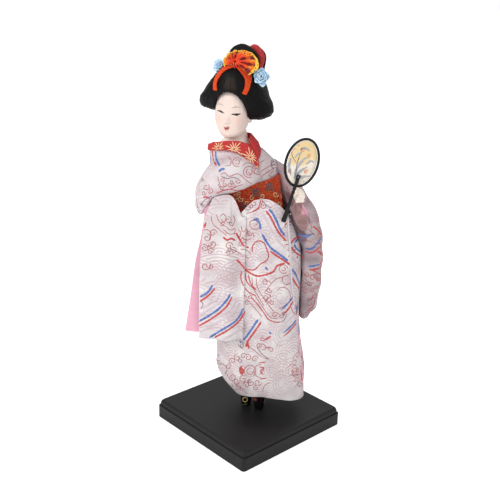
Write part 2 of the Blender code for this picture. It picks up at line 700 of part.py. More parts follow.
def make_right_sleeve(parent):
    """The sleeve that crosses the belly, with its long hanging front layer and pink back layer."""
    rings = []
    for share in np.linspace(0, 1, 14):
        u = RIGHT_SLEEVE[0, 0] + (RIGHT_SLEEVE[-1, 0] - RIGHT_SLEEVE[0, 0]) * (0.5 - 0.5 * math.cos(math.pi * share))
        low, high, front, rear = curve(RIGHT_SLEEVE, u)
        ring = []
        for a in np.linspace(0, 2 * math.pi, 16, endpoint=False):
            v, share = oval((front, rear, 0, 1), a)
            ring.append((u, v, low + (high - low) * max(0.0, share) ** SLEEVE_SAG))
        rings.append(ring)
    sleeve = loft("sleeve_right", rings, KIMONO, parent)

    def bag_front(u, height):
        share = (u - BAG_FRONT_LEFT[0, 1]) / (BAG_FRONT_RIGHT - BAG_FRONT_LEFT[0, 1])
        bulge = BAG_BULGE * math.sin(math.pi * min(1, max(0, share)))
        fall = max(0, (height - 168 * MM) / (16 * MM))
        return np.array([u, BAG_FRONT - bulge * 0.5 + 4.5 * MM * fall ** 2, height])

    def front_region(a, b):
        height = BAG_BOTTOM
        for _ in range(3):
            left = curve(BAG_FRONT_LEFT, height)[0]
            u = left + (BAG_FRONT_RIGHT - left) * a
            top = curve(BAG_FRONT_TOP, u)[0]
            bottom = BAG_BOTTOM - 2 * MM * a
            height = bottom + (top - bottom) * b
        return u, height

    def back_region(a, b):
        height = BAG_BOTTOM + 1.5 * MM + (BAG_BACK_TOP - BAG_BOTTOM) * b
        left = curve(BAG_BACK_LEFT, height)[0]
        return left + (-22 * MM - left) * a, height

    def bag_back(u, height):
        return np.array([u, BAG_BACK - 0.06 * (u + 36 * MM), height])

    front = sheet("sleeve_right_bag", bag_front, front_region, (10, 12), (-CLOTH, 0), KIMONO, parent)
    back = sheet("sleeve_right_lining", bag_back, back_region, (6, 12), (-LINING, 0), PINK, parent)
    return sleeve, front, back


def make_left_sleeve(parent):
    """The sleeve beside the skirt: round the arm above, hanging below, with an open cuff."""
    sleeve = tube("sleeve_left", LEFT_SLEEVE, 9, KIMONO, parent, sides=14)
    rings = []
    for height in np.linspace(LEFT_BAG[0, 0], LEFT_BAG[-1, 0], 12):
        sides = curve(LEFT_BAG[::-1], height)
        rings.append([(*oval(sides, a), height) for a in np.linspace(0, 2 * math.pi, 18, endpoint=False)])
    bag = loft("bag", rings, KIMONO, parent)
    boolean(sleeve, evaluated_mesh(bag), "UNION")
    bpy.data.objects.remove(bag)
    cuff = bmesh.new()
    bmesh.ops.create_icosphere(cuff, subdivisions=2, radius=1)
    place = Matrix.Translation(CUFF_PLACE) @ Matrix.Rotation(CUFF_LEAN, 4, "Y")
    cuff.transform(DOLL @ place @ Matrix.Diagonal((*CUFF_SIZE, 1)))
    boolean(sleeve, cuff, "DIFFERENCE")
    return sleeve


def make_hand(parent):
    """The left hand, closed round the fan's handle."""
    samples = [path_point(HAND, i / 7) for i in range(8)]
    radii = [HAND_RADIUS * scale for scale in (0.62, 0.66, 0.85, 1.0, 1.05, 1.0, 0.9, 0.72)]
    return loft("hand_left", tube_rings(samples, radii, 14), SKIN, parent)


def fan_place(x, z, depth):
    """A point of the fan, from its centre: x across and z up the leaf, and depth towards the back."""
    turned = Matrix.Rotation(FAN_LEAN, 3, "Y") @ Vector((x, depth, z))
    return FAN_CENTRE + turned


def handle_place(x, z, depth):
    """A point of the fan's handle, from its top end."""
    top = fan_place(0, 0, 0) + Matrix.Rotation(FAN_LEAN, 3, "Y") @ Vector((0.4 * MM, 0, -HANDLE_TOP + 2 * MM))
    return top + Matrix.Rotation(HANDLE_LEAN, 3, "Y") @ Vector((x, depth, z))


def make_fan(parent):
    """The fan's ring, its leaf and its handle, whose tab is pierced."""
    turns = np.linspace(0, 2 * math.pi, 32, endpoint=False)
    half = FAN_RING_DEPTH / 2
    outline = [(0, -half * 0.5), (FAN_RING * 0.3, -half), (FAN_RING * 0.7, -half), (FAN_RING, -half * 0.5),
               (FAN_RING, half * 0.5), (FAN_RING * 0.7, half), (FAN_RING * 0.3, half), (0, half * 0.5)]
    points = []
    for a in turns:
        for inset, depth in outline:
            points.append(fan_place((FAN_HALF_WIDTH - inset) * math.cos(a),
                                    (FAN_HALF_HEIGHT - inset) * math.sin(a), depth))
    count = len(outline)
    faces = []
    for j in range(len(turns)):
        for i in range(count):
            k, m = (i + 1) % count, (j + 1) % len(turns)
            faces.append((j * count + i, m * count + i, m * count + k, j * count + k))
    fan_ring = add_object("fan_ring", points, faces, LACQUER, parent)
    half_width, half_height = FAN_HALF_WIDTH - FAN_RING - GAP, FAN_HALF_HEIGHT - FAN_RING - GAP
    faces_of_leaf = [[fan_place(half_width * math.cos(a), half_height * math.sin(a), depth) for a in turns]
                     for depth in (-FAN_LEAF / 2, FAN_LEAF / 2)]
    loft("fan_leaf", faces_of_leaf, FAN_PAPER, parent)
    outline = [(0, TAB_WIDTH), (-TAB_LENGTH * 0.8, TAB_WIDTH * 0.86), (-TAB_LENGTH, 2.0 * MM),
               (-TAB_LENGTH - 1.5 * MM, 2.9 * MM), (-TAB_LENGTH - 3 * MM, 2.0 * MM),
               (-TAB_LENGTH - 4.5 * MM, 2.7 * MM), (-TAB_LENGTH - 6 * MM, 2.0 * MM),
               (-HANDLE_LENGTH * 0.65, 2.5 * MM), (-HANDLE_LENGTH + 1 * MM, 3.9 * MM), (-HANDLE_LENGTH, 3.2 * MM)]
    front = -half - GAP - HANDLE_DEPTH
    rings = []
    for z, width in outline:
        ring = []
        for k in range(10):
            turn = 2 * math.pi * (k + 0.5) / 10
            x = width / 2 * math.copysign(abs(math.cos(turn)) ** 0.6, math.cos(turn))
            depth = HANDLE_DEPTH / 2 * math.copysign(abs(math.sin(turn)) ** 0.6, math.sin(turn))
            ring.append(handle_place(x, z, front + HANDLE_DEPTH / 2 + depth))
        rings.append(ring)
    handle = loft("fan_handle", rings, LACQUER, parent)
    cutter = bmesh.new()
    bmesh.ops.create_cone(cutter, cap_ends=True, segments=12, radius1=TAB_HOLE / 2, radius2=TAB_HOLE / 2,
                          depth=4 * HANDLE_DEPTH)
    hole = Matrix.Translation(handle_place(0, -TAB_HOLE_PLACE, front)) @ Matrix.Rotation(math.pi / 2, 4, "X")
    cutter.transform(DOLL @ hole)
    boolean(handle, cutter, "DIFFERENCE")
    return fan_ring, handle


def head_point(angle, height):
    """A point of the head's surface, with the nose."""
    half_width, front, back = curve(HEAD, height)
    u, v = oval((-half_width, half_width, front, back), angle)
    nose = NOSE * math.exp(-((height - NOSE_HEIGHT) / (3 * MM)) ** 2 - (u / (1.7 * MM)) ** 2)
    return np.array([u, v - nose if v < 0 else v, height])


def make_head(parent, doll):
    """The cast head and neck in one piece."""
    heights = np.concatenate([np.linspace(HEAD[0, 0], HEAD[3, 0], 5), np.linspace(HEAD[3, 0], HEAD[-1, 0], 12)[1:]])
    angles = [math.radians(-90 + 360 * i / 22) for i in range(22)]
    rings = [[head_point(angle, height) for angle in angles] for height in heights]
    head = loft("head", rings, SKIN, parent)
    neck_rings = []
    for u, v, z, radius in NECK:
        neck_rings.append([(u + radius * math.cos(a), v + 0.9 * radius * math.sin(a), z)
                           for a in np.linspace(0, 2 * math.pi, 20, endpoint=False)])
    neck = loft("neck", neck_rings, SKIN, doll)
    boolean(head, evaluated_mesh(neck), "UNION")
    bpy.data.objects.remove(neck)
    return head


def wig_surface(angle, height):
    """The wig's outside, in the head's frame."""
    half_width, front, back = curve(WIG, height)
    return np.array([*oval((-half_width, half_width, front, back), angle), height])


def make_wig(parent, head):
    """The wig: two full side wings, a puffed front and a rounded back, open round the face."""
    heights = np.concatenate([WIG[:3, 0], np.linspace(WIG[2, 0], WIG[-1, 0], 12)[1:]])
    angles = [math.radians(-90 + 360 * i / 28) for i in range(28)]
    wig = loft("wig", [[wig_surface(angle, height) for angle in angles] for height in heights], HAIR, parent)
    opening = []
    for y in (-40 * MM, HAIRLINE_DEPTH):
        arch = [(HAIRLINE_WIDTH, y, -20 * MM)]
        for step in range(13):
            turn = math.pi * step / 12
            arch.append((HAIRLINE_WIDTH * math.cos(turn), y, HAIRLINE_TOP * math.sin(turn)))
        arch.append((-HAIRLINE_WIDTH, y, -20 * MM))
        opening.append(arch)
    cutter = loft("opening", opening, HAIR, parent)
    boolean(wig, evaluated_mesh(cutter), "DIFFERENCE")
    bpy.data.objects.remove(cutter)
    carve(wig, head)
    return wig


def make_topknot(parent):
    """The topknot at the crown: two rolls of hair with a red cloth roll between them."""
    middle = [(-1.0, 0.0), (-0.9, 0.55), (-0.6, 0.86), (0.0, 1.0), (0.6, 0.86), (0.9, 0.55), (1.0, 0.0)]
    turn = Matrix.Translation(TOPKNOT_PLACE) @ Matrix.Rotation(-TOPKNOT_LEAN, 4, "X")
    start = -sum(ROLL_DEPTHS) / 2
    made = []
    for name, depth, scale, finish in (("topknot_front", ROLL_DEPTHS[0], 0.95, HAIR),
                                       ("topknot_cloth", ROLL_DEPTHS[1], 1.0, RED_CLOTH),
                                       ("topknot_back", ROLL_DEPTHS[2], 0.93, HAIR)):
        rings = []
        for share, _ in middle:
            swell = scale * (0.86 + 0.14 * math.sqrt(max(0.0, 1 - share * share)))
            y = start + depth * (share + 1) / 2
            ring = []
            for k in range(22):
                a = 2 * math.pi * k / 22
                x = TOPKNOT_RADIUS[0] * swell * math.cos(a)
                z = (TOPKNOT_RADIUS[1] if math.sin(a) > 0 else 4 * MM) * swell * math.sin(a)
                ring.append(turn @ Vector((x * (1 - 0.22 * max(0, math.sin(a))), y, z)))
            rings.append(ring)
        made.append(loft(name, rings, finish, parent))
        start += depth + GAP
    return made


def make_ribbons(parent):
    """Two ribbon ends that fall from the bow over the puffed front hair."""
    made = []
    for side, path in (("left", LEFT_RIBBON), ("right", RIGHT_RIBBON)):
        def on_wig(x, z):
            half_width, front, back = curve(WIG, z)
            return wig_surface(front_angle((-half_width, half_width, front, back), x), z)

        def ribbon_region(a, b, path=path):
            here = path_point(np.column_stack([path, np.zeros(len(path))]), b)[:2]
            ahead = path_point(np.column_stack([path, np.zeros(len(path))]), min(1, b + 0.05))[:2]
            behind = path_point(np.column_stack([path, np.zeros(len(path))]), max(0, b - 0.05))[:2]
            along = (ahead - behind) / np.linalg.norm(ahead - behind)
            return here + RIBBON_WIDTH * (a - 0.5) * np.array([-along[1], along[0]])

        made.append(sheet("hair_ribbon_" + side, on_wig, ribbon_region, (2, 10), (GAP, GAP + RIBBON), ORANGE, parent))
    return made


def make_bow(parent):
    """The crumpled cloth that spreads like a fan in front of the topknot, with its knot."""
    tilt = Matrix.Translation(BOW_CENTRE) @ Matrix.Rotation(BOW_TILT, 4, "X")
    rings = []
    reach_angles = np.linspace(-32, 232, 30)
    for layer in (-1, 1):
        grid = []
        for share in (0.0, 0.3, 0.65, 0.9, 1.0):
            row = []
            for degrees in reach_angles:
                angle = math.radians(degrees)
                reach = curve(BOW_REACH, degrees)[0] * MM
                pleat = BOW_PLEAT * share * math.sin(BOW_PLEATS * angle)
                dome = 2.2 * MM * (1 - share ** 2)
                thickness = BOW_THICKNESS / 2 * (1 - 0.5 * share)
                radius = KNOT_RADIUS * 0.5 + (reach - KNOT_RADIUS * 0.5) * share
                row.append(tilt @ Vector((radius * math.cos(angle), -dome - pleat + layer * thickness,
                                          radius * math.sin(angle))))
            grid.append(row)
        rings.append(grid)
    columns, rows = len(reach_angles), 5
    points = [p for grid in rings for row in grid for p in row]
    layer = columns * rows
    faces = []
    for j in range(rows - 1):
        for i in range(columns - 1):
            a = j * columns + i
            faces.append((a, a + 1, a + 1 + columns, a + columns))
            faces.append((layer + a, layer + a + columns, layer + a + 1 + columns, layer + a + 1))
    for j in (0, rows - 1):
        for i in range(columns - 1):
            a = j * columns + i
            faces.append((a, a + 1, a + 1 + layer, a + layer))
    for i in (0, columns - 1):
        for j in range(rows - 1):
            a = j * columns + i
            faces.append((a, a + columns, a + columns + layer, a + layer))
    bow = add_object("hair_bow", points, faces, ORANGE, parent)
    return bow


def make_flower(name, centre, radius, parent):
    """A round cloth rose with spiral folds."""
    ball = bmesh.new()
    bmesh.ops.create_icosphere(ball, subdivisions=3, radius=radius)
    for vert in ball.verts:
        spin = math.atan2(vert.co.z, vert.co.x)
        rise = vert.co.y / radius
        vert.co *= 1 + 0.07 * math.sin(3 * spin + 5 * rise) + 0.03 * math.sin(7 * spin - 9 * rise)
        vert.co.y *= 0.8
    points = [centre + vert.co for vert in ball.verts]
    faces = [tuple(v.index for v in face.verts) for face in ball.faces]
    ball.free()
    return add_object(name, points, faces, FLOWER_BLUE, parent)


for old in list(bpy.data.objects):
    bpy.data.objects.remove(old)

STAND_BLACK = material("stand_black", (0.015, 0.015, 0.017), 0.35)
LACQUER = material("lacquer", (0.008, 0.008, 0.009), 0.2)
STEEL = material("steel", (0.6, 0.6, 0.6), 0.3, 1.0)
SOCK_WHITE = material("sock_white", (0.85, 0.85, 0.83), 0.8)
STUFFING = material("stuffing", (0.8, 0.76, 0.66), 0.9)
KIMONO = material("kimono", (0.78, 0.68, 0.72), 0.45)
PINK = material("pink_lining", (0.9, 0.5, 0.66), 0.6)
RED_BROCADE = material("red_brocade", (0.65, 0.02, 0.03), 0.5)
OBI_RED = material("obi_red", (0.6, 0.05, 0.02), 0.5)
SKIN = material("skin", (0.9, 0.74, 0.68), 0.4)
HAIR = material("hair", (0.012, 0.011, 0.012), 0.35)
RED_CLOTH = material("red_cloth", (0.7, 0.02, 0.04), 0.7)
ORANGE = material("orange_cloth", (0.85, 0.15, 0.03), 0.7)
FLOWER_BLUE = material("flower_blue", (0.4, 0.66, 0.9), 0.7)
FAN_PAPER = material("fan_paper", (0.85, 0.74, 0.5), 0.7)

DOLL = Matrix.Translation((0, 0, STAND_HEIGHT)) @ Matrix.Rotation(DOLL_TURN, 4, "Z")
doll_frame = bpy.data.objects.new("doll_frame", None)
doll_frame.matrix_world = DOLL
bpy.context.collection.objects.link(doll_frame)
head_frame = bpy.data.objects.new("head_frame", None)
head_frame.parent = doll_frame
head_frame.location = HEAD_PLACE
head_frame.rotation_euler = Euler((HEAD_NOD, HEAD_TILT, HEAD_TURN), "XYZ")
bpy.context.collection.objects.link(head_frame)
bpy.context.view_layer.update()

make_stand()
make_feet("left", LEFT_STEP, doll_frame)
make_feet("right", RIGHT_STEP, doll_frame)
core = make_core(doll_frame)
skirt, panel = make_skirt(doll_frame)
bodice, collar_front, collar_nape = make_bodice(doll_frame)
obi = make_obi(doll_frame)
arm_right, arm_left = make_arms(doll_frame)
sleeve_right, bag_front, bag_back = make_right_sleeve(doll_frame)
sleeve_left = make_left_sleeve(doll_frame)
hand = make_hand(doll_frame)
fan_ring, handle = make_fan(doll_frame)
head = make_head(head_frame, doll_frame)
wig = make_wig(head_frame, head)
topknot = make_topknot(head_frame)
ribbon_left, ribbon_right = make_ribbons(head_frame)
bow = make_bow(head_frame)
left_flower = make_flower("hair_flower_left", *LEFT_FLOWER, head_frame)
right_flower = make_flower("hair_flower_right", *RIGHT_FLOWER, head_frame)

carve(bodice, arm_right, arm_left)
carve(core, arm_right, arm_left)
carve(sleeve_right, collar_front, collar_nape, bodice, obi, arm_right)
carve(sleeve_left, bodice, obi, panel, skirt, arm_left, hand, handle)
carve(bag_front, sleeve_right, panel)
carve(bag_back, sleeve_right, panel, bag_front)
carve(hand, arm_left, handle, fan_ring)
for roll in topknot:
    carve(roll, wig)
carve(bow, wig, ribbon_left, ribbon_right, topknot[0])
carve(left_flower, wig, bow, topknot[0])
carve(right_flower, wig, bow, topknot[0])
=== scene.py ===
"""Dress the solids of a standing dancer doll in printed satin, combed hair, cloth roses and lacquer.

Lengths are millimetres in the doll's own frame, turned to metres by MM. In that frame u (or x) runs to
the viewer's right, v (or y) away from the viewer, and the height (or z) is above the top of the stand.
The head has a frame of its own, with its middle in the skull. The print on the clothes is made as thin
threads of cloth, laid on the surface along lines of sight.
"""
import math

import bmesh
import bpy
import numpy as np
from mathutils import Euler, Matrix, Vector
from mathutils.bvhtree import BVHTree


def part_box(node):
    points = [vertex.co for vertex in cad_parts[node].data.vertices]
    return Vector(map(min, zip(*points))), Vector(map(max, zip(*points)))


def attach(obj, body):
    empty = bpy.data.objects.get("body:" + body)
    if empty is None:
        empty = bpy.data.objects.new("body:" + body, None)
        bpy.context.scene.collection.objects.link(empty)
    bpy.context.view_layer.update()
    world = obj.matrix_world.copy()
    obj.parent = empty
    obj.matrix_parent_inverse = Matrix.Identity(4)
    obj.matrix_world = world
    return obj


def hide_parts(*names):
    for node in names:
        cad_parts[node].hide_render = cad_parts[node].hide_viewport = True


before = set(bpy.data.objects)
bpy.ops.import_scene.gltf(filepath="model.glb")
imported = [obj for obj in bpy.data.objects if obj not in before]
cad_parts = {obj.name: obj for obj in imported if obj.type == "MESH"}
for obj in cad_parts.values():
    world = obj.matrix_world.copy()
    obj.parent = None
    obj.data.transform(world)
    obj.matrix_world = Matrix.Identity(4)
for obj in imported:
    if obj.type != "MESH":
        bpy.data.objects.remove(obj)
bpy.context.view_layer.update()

bl_info = {
    "name": "Dancer Doll",
    "version": (1, 0, 0),
    "blender": (4, 5, 0),
    "location": "View3D > Sidebar > Doll",
    "description": "Cloth, hair, paper and lacquer of a standing dancer doll on a square board",
    "category": "Object",
}

# The doll's frame and the head's, as matrices
MM = 0.001
STAND_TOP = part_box("stand")[1][2]
DOLL = Matrix.Translation((0, 0, STAND_TOP)) @ Matrix.Rotation(math.radians(45), 4, "Z")
HEAD_TURN = Euler([math.radians(angle) for angle in (-1, 3.5, -17)], "XYZ").to_matrix().to_4x4()
HEAD = DOLL @ Matrix.Translation(Vector((-16.3, -1.3, 242.8)) * MM) @ HEAD_TURN

# The body's upright axis, and the radius at which cloth wrapped round it has true UVs
BODY_AXIS = (6.0, 1.0)
WRAP_RADIUS = 33.0

# Places on the head: where the hair is tied, the middle of the topknot's rolls, and the bow's knot
HAIR_KNOT = (1.3, 34.6)
ROLL_MIDDLE = (1.8, 28.5)
BOW_KNOT = (1.6, -12.6, 34.0)

# Paths of the ribbons over the front hair, and of the left sleeve from the shoulder down
RIBBON_PATHS = {
    "left": ((0.4, 33.5), (-3.6, 31.6), (-8.6, 25.6), (-10.4, 20.0), (-10.0, 15.4)),
    "right": ((4.6, 33.2), (8.6, 30.0), (12.4, 25.0), (12.9, 19.4), (11.6, 15.2)),
}
SHOULDER_PATH = ((13.0, 1.6, 202.6), (18.0, 2.5, 199.0), (24.0, 4.0, 190.5), (28.0, 6.0, 181.0),
                 (28.0, 7.0, 168.0))

# The camera of the photograph, whose frame is 500 pixels square
PHOTO_WIDTH = 500
FOCAL_PIXELS = 767.8
SENSOR_WIDTH = 36.0
CAMERA_PLACE = Vector((0.4153, -0.3910, 0.3393))
CAMERA_YAW = math.radians(46.95)
CAMERA_PITCH = math.radians(18.27)
CAMERA_ROLL = math.radians(1.57)

# The lamps, each with its place and size in metres and its power in watts
DOLL_MIDDLE = Vector((0, 0, 0.16))
LAMPS = (("key_lamp", (-0.02, -1.1, 0.95), 0.8, 10.0), ("fill_lamp", (0.75, -0.95, 0.1), 0.7, 1.8),
         ("side_lamp", (1.1, 0.25, 0.75), 1.0, 2.5), ("top_lamp", (-0.4, 0.5, 1.3), 1.0, 4.0))

# Print: pixels between two places of a line, the longest step over a break, and heights in millimetres
THREAD_STEP = 0.75
JUMP = 2.2 * MM
PRINT_LIFT = 0.07
PAINT_LIFT = 0.03
THREAD_LIFT = 0.06
FINE_LIFT = 0.05
FACE_LIFT = 0.035

# Print isn't laid where the surface turns its side to the line of sight, past this cosine
GRAZING = -0.18

# Depth of the wig's combed grooves in millimetres
COMB_DEPTH = 0.11

# The finishes by name, and the clothes that carry print, filled as they are made
MATERIALS = {}
CLOTHES = {}


def rgb(red, green, blue):
    """A linear colour from a screen colour of 0 to 255."""
    def linear(value):
        value /= 255
        return value / 12.92 if value <= 0.04045 else ((value + 0.055) / 1.055) ** 2.4
    return (linear(red), linear(green), linear(blue), 1.0)


def chosen(name):
    """A value of the doll's settings; a colour comes as a plain tuple."""
    value = getattr(bpy.context.scene.doll, name)
    return value if isinstance(value, float) else tuple(value)


WHITE_SATIN = rgb(239, 236, 234)
GREY_SATIN = rgb(200, 191, 193)
PINK_SATIN = rgb(211, 188, 191)
LINE_RED = rgb(158, 64, 66)
LINE_DARK = rgb(112, 52, 66)
STRIPE_RED = rgb(190, 42, 44)
STRIPE_BLUE = rgb(58, 92, 166)
SMOKE = rgb(200, 184, 192)
TONE_LINE = rgb(198, 168, 174)
LINING_PINK = rgb(236, 178, 200)
COLLAR_RED = rgb(186, 14, 24)
GOLD_THREAD = rgb(236, 214, 152)
OBI_RED = rgb(204, 24, 10)
OBI_GOLD = rgb(214, 168, 84)
OBI_DARK = rgb(52, 40, 50)
SKIN_TONE = rgb(228, 208, 198)
HAIR_BLACK = rgb(14, 13, 14)
RIBBON_ORANGE = rgb(218, 74, 34)
RIM_YELLOW = rgb(250, 196, 60)
BOW_RED = rgb(212, 36, 10)
ROSE_BLUE = rgb(216, 238, 250)
LACQUER_BLACK = rgb(8, 8, 8)
PAPER_CREAM = rgb(224, 208, 182)


# Meshes and frames

def doll(u, v, height):
    """A point of the doll's frame, in metres."""
    return DOLL @ Vector((u * MM, v * MM, height * MM))


def read_points(piece, place=DOLL):
    """A piece's vertices in millimetres of a frame."""
    flat = np.empty(len(piece.data.vertices) * 3)
    piece.data.vertices.foreach_get("co", flat)
    back = np.array(place.inverted())
    return (flat.reshape(-1, 3) @ back[:3, :3].T + back[:3, 3]) / MM


def write_points(piece, points, place=DOLL):
    """Moves a piece's vertices to places in millimetres of a frame."""
    turn = np.array(place)
    flat = (points * MM) @ turn[:3, :3].T + turn[:3, 3]
    piece.data.vertices.foreach_set("co", flat.ravel())
    piece.data.update()


def read_normals(piece, place=DOLL):
    """A piece's vertex normals in a frame."""
    flat = np.empty(len(piece.data.vertices) * 3)
    piece.data.vertex_normals.foreach_get("vector", flat)
    return flat.reshape(-1, 3) @ np.array(place)[:3, :3]


def add_piece(name, mesh):
    """An object at the origin that holds a mesh."""
    piece = bpy.data.objects.new(name, mesh)
    bpy.context.scene.collection.objects.link(piece)
    return piece


def piece_of(name, solid, smooth=True):
    """A piece from a bmesh, which is freed."""
    mesh = bpy.data.meshes.new(name)
    solid.to_mesh(mesh)
    solid.free()
    if smooth:
        mesh.shade_smooth()
    return add_piece(name, mesh)


def copy_of(node):
    """A merged copy of a CAD node's mesh, with quads where it had them."""
    solid = bmesh.new()
    solid.from_mesh(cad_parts[node].data)
    bmesh.ops.remove_doubles(solid, verts=solid.verts[:], dist=0.002 * MM)
    bmesh.ops.join_triangles(solid, faces=solid.faces[:], angle_face_threshold=math.radians(25),
                             angle_shape_threshold=math.radians(70))
    return solid


def opened(piece):
    """A piece's mesh as a bmesh to work on."""
    solid = bmesh.new()
    solid.from_mesh(piece.data)
    return solid


def closed(solid, piece):
    """Writes a bmesh back to its piece, and frees it."""
    solid.to_mesh(piece.data)
    solid.free()


def surface_of(piece):
    """A piece's surface, ready to be searched for its nearest place or along a line."""
    mesh = piece.data
    return BVHTree.FromPolygons([v.co for v in mesh.vertices], [tuple(f.vertices) for f in mesh.polygons])


def settle(piece):
    """Applies a piece's modifiers."""
    graph = bpy.context.evaluated_depsgraph_get()
    old = piece.data
    mesh = bpy.data.meshes.new_from_object(piece.evaluated_get(graph))
    piece.modifiers.clear()
    piece.data = mesh
    bpy.data.meshes.remove(old)
    mesh.shade_smooth()
    return piece


def refined(name, node, levels, crease=0.75, sharp=38):
    """A subdivided copy of a CAD node that keeps its edges as soft bends."""
    solid = copy_of(node)
    layer = solid.edges.layers.float.new("crease_edge")
    for edge in solid.edges:
        if len(edge.link_faces) == 2 and edge.calc_face_angle() > math.radians(sharp):
            edge[layer] = crease
    piece = piece_of(name, solid)
    finer = piece.modifiers.new("finer", "SUBSURF")
    finer.levels = finer.render_levels = levels
    return settle(piece)


def remeshed(piece, voxel, smoothing=4):
    """Rebuilds a piece from small even faces, and smooths it."""
    fill = piece.modifiers.new("fill", "REMESH")
    fill.mode = "VOXEL"
    fill.voxel_size = voxel * MM
    ease = piece.modifiers.new("ease", "SMOOTH")
    ease.factor = 0.5
    ease.iterations = smoothing
    return settle(piece)


def thickened(piece, depth, offset=-1):
    """Gives a sheet its thickness, inwards unless the offset is 1."""
    wall = piece.modifiers.new("cloth", "SOLIDIFY")
    wall.thickness = depth
    wall.offset = offset
    return settle(piece)


def joined(name, nodes):
    """One loose mesh of several CAD nodes' copies."""
    whole = bmesh.new()
    for node in nodes:
        part = copy_of(node)
        mesh = bpy.data.meshes.new("part")
        part.to_mesh(mesh)
        part.free()
        whole.from_mesh(mesh)
        bpy.data.meshes.remove(mesh)
    return piece_of(name, whole)


def swell(piece, distance):
    """Moves a piece's surface outward by a distance."""
    write_points(piece, read_points(piece) + read_normals(piece) * distance)
    return piece


def waves(points, size, seed, count=9):
    """Smooth noise from -1 to 1 over space, with features of about a size in millimetres."""
    source = np.random.default_rng(seed)
    total = np.zeros(len(points))
    for _ in range(count):
        direction = source.normal(size=3)
        direction /= np.linalg.norm(direction)
        stretch = size * source.uniform(0.7, 1.5)
        total += np.sin(points @ direction * (2 * math.pi / stretch) + source.uniform(0, 2 * math.pi))
    return total / math.sqrt(count)


def bump(distance, width):
    """A soft bump: 1 at no distance, falling to 0 past a width."""
    return np.exp(-(distance / width) ** 2)


def smoothstep(value, low, high):
    """0 below low, 1 above high, and smooth between."""
    share = np.clip((value - low) / (high - low), 0, 1)
    return share * share * (3 - 2 * share)


def angle_round_body(points):
    """The angle of points round the body's axis: -90 degrees is the front."""
    return np.arctan2(points[:, 1] - BODY_AXIS[1], points[:, 0] - BODY_AXIS[0])


def outward(points):
    """Level directions away from the body's axis."""
    away = np.zeros_like(points)
    away[:, 0] = points[:, 0] - BODY_AXIS[0]
    away[:, 1] = points[:, 1] - BODY_AXIS[1]
    return away / np.maximum(np.linalg.norm(away, axis=1), 1e-6)[:, None]


def set_uv(piece, across, along):
    """A UV map in centimetres from two arrays over the vertices, with no seam through a face."""
    mesh = piece.data
    corner = np.empty(len(mesh.loops), dtype=np.int32)
    mesh.loops.foreach_get("vertex_index", corner)
    start = np.empty(len(mesh.polygons), dtype=np.int32)
    total = np.empty(len(mesh.polygons), dtype=np.int32)
    mesh.polygons.foreach_get("loop_start", start)
    mesh.polygons.foreach_get("loop_total", total)
    first = np.repeat(across[corner[start]], total)
    value, period = across[corner], 2 * math.pi
    value = value + period * np.round((first - value) / period)
    flat = np.column_stack([value * WRAP_RADIUS / 10, along[corner] / 10])
    layer = mesh.uv_layers.new(name="UVMap")
    layer.data.foreach_set("uv", flat.ravel())
    return piece


def mark_painted_shade(piece, height, span):
    """Stores a value from 0 to 1 for each point, mostly how high it lies between the valleys and crests of
    its folds, from which the finish paints shade where the value is low.
    """
    layer = piece.data.attributes.new("fold", "FLOAT", "POINT")
    layer.data.foreach_set("value", np.clip(0.5 + height / (2 * span), 0, 1).astype(np.float32))


def wrap_uv(piece):
    """UVs of cloth wrapped round the body."""
    points = read_points(piece)
    return set_uv(piece, angle_round_body(points), points[:, 2])


def paint_all(piece, finish):
    """Gives a piece one finish all over."""
    piece.data.materials.clear()
    piece.data.materials.append(MATERIALS[finish])


def dress(piece, finish, slot, *nodes):
    """Gives a piece its finish, and lets it stand for CAD nodes; the slot is not used."""
    paint_all(piece, finish)
    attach(piece, "root")
    if nodes:
        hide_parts(*nodes)
    return piece


def half_area(piece):
    """Half of a thin piece's surface, in square metres."""
    solid = opened(piece)
    area = sum(face.calc_area() for face in solid.faces) / 2
    solid.free()
    return area


# Shader building

class Graph:
    """Adds nodes to a material or a group in few words."""

    def __init__(self, tree):
        self.tree = tree

    def node(self, kind, inputs=(), **settings):
        made = self.tree.nodes.new(kind)
        for name, value in settings.items():
            setattr(made, name, value)
        for key, value in dict(inputs).items():
            self.feed(made.inputs[key], value)
        return made

    def feed(self, socket, value):
        if isinstance(value, bpy.types.NodeSocket):
            self.tree.links.new(value, socket)
        elif value is not None:
            socket.default_value = value

    def math(self, operation, a, b=None, c=None, clamp=False):
        made = self.node("ShaderNodeMath", {0: a, 1: b, 2: c}, operation=operation, use_clamp=clamp)
        return made.outputs[0]

    def times(self, a, b):
        return self.math("MULTIPLY", a, b)

    def plus(self, a, b):
        return self.math("ADD", a, b)

    def axes(self, vector):
        return self.node("ShaderNodeSeparateXYZ", {0: vector}).outputs

    def noise(self, vector, scale, detail=2.0, roughness=0.5):
        made = self.node("ShaderNodeTexNoise", {"Vector": vector, "Scale": scale, "Detail": detail,
                                                "Roughness": roughness})
        return made.outputs["Fac"]

    def between(self, value, low, high):
        made = self.node("ShaderNodeMapRange", {"Value": value, "From Min": low, "From Max": high},
                         interpolation_type="SMOOTHSTEP")
        return made.outputs["Result"]

    def mix(self, share, a, b, blend="MIX"):
        made = self.node("ShaderNodeMix", {0: share, 6: a, 7: b}, data_type="RGBA", blend_type=blend)
        return made.outputs[2]

    def stretch(self, vector, scale, place=(0, 0, 0), turn=(0, 0, 0)):
        made = self.node("ShaderNodeMapping", {"Vector": vector, "Scale": scale, "Location": place,
                                               "Rotation": turn})
        return made.outputs[0]

    def group(self, name, **inputs):
        made = self.node("ShaderNodeGroup", node_tree=bpy.data.node_groups[name])
        for key, value in inputs.items():
            self.feed(made.inputs[key], value)
        return made.outputs


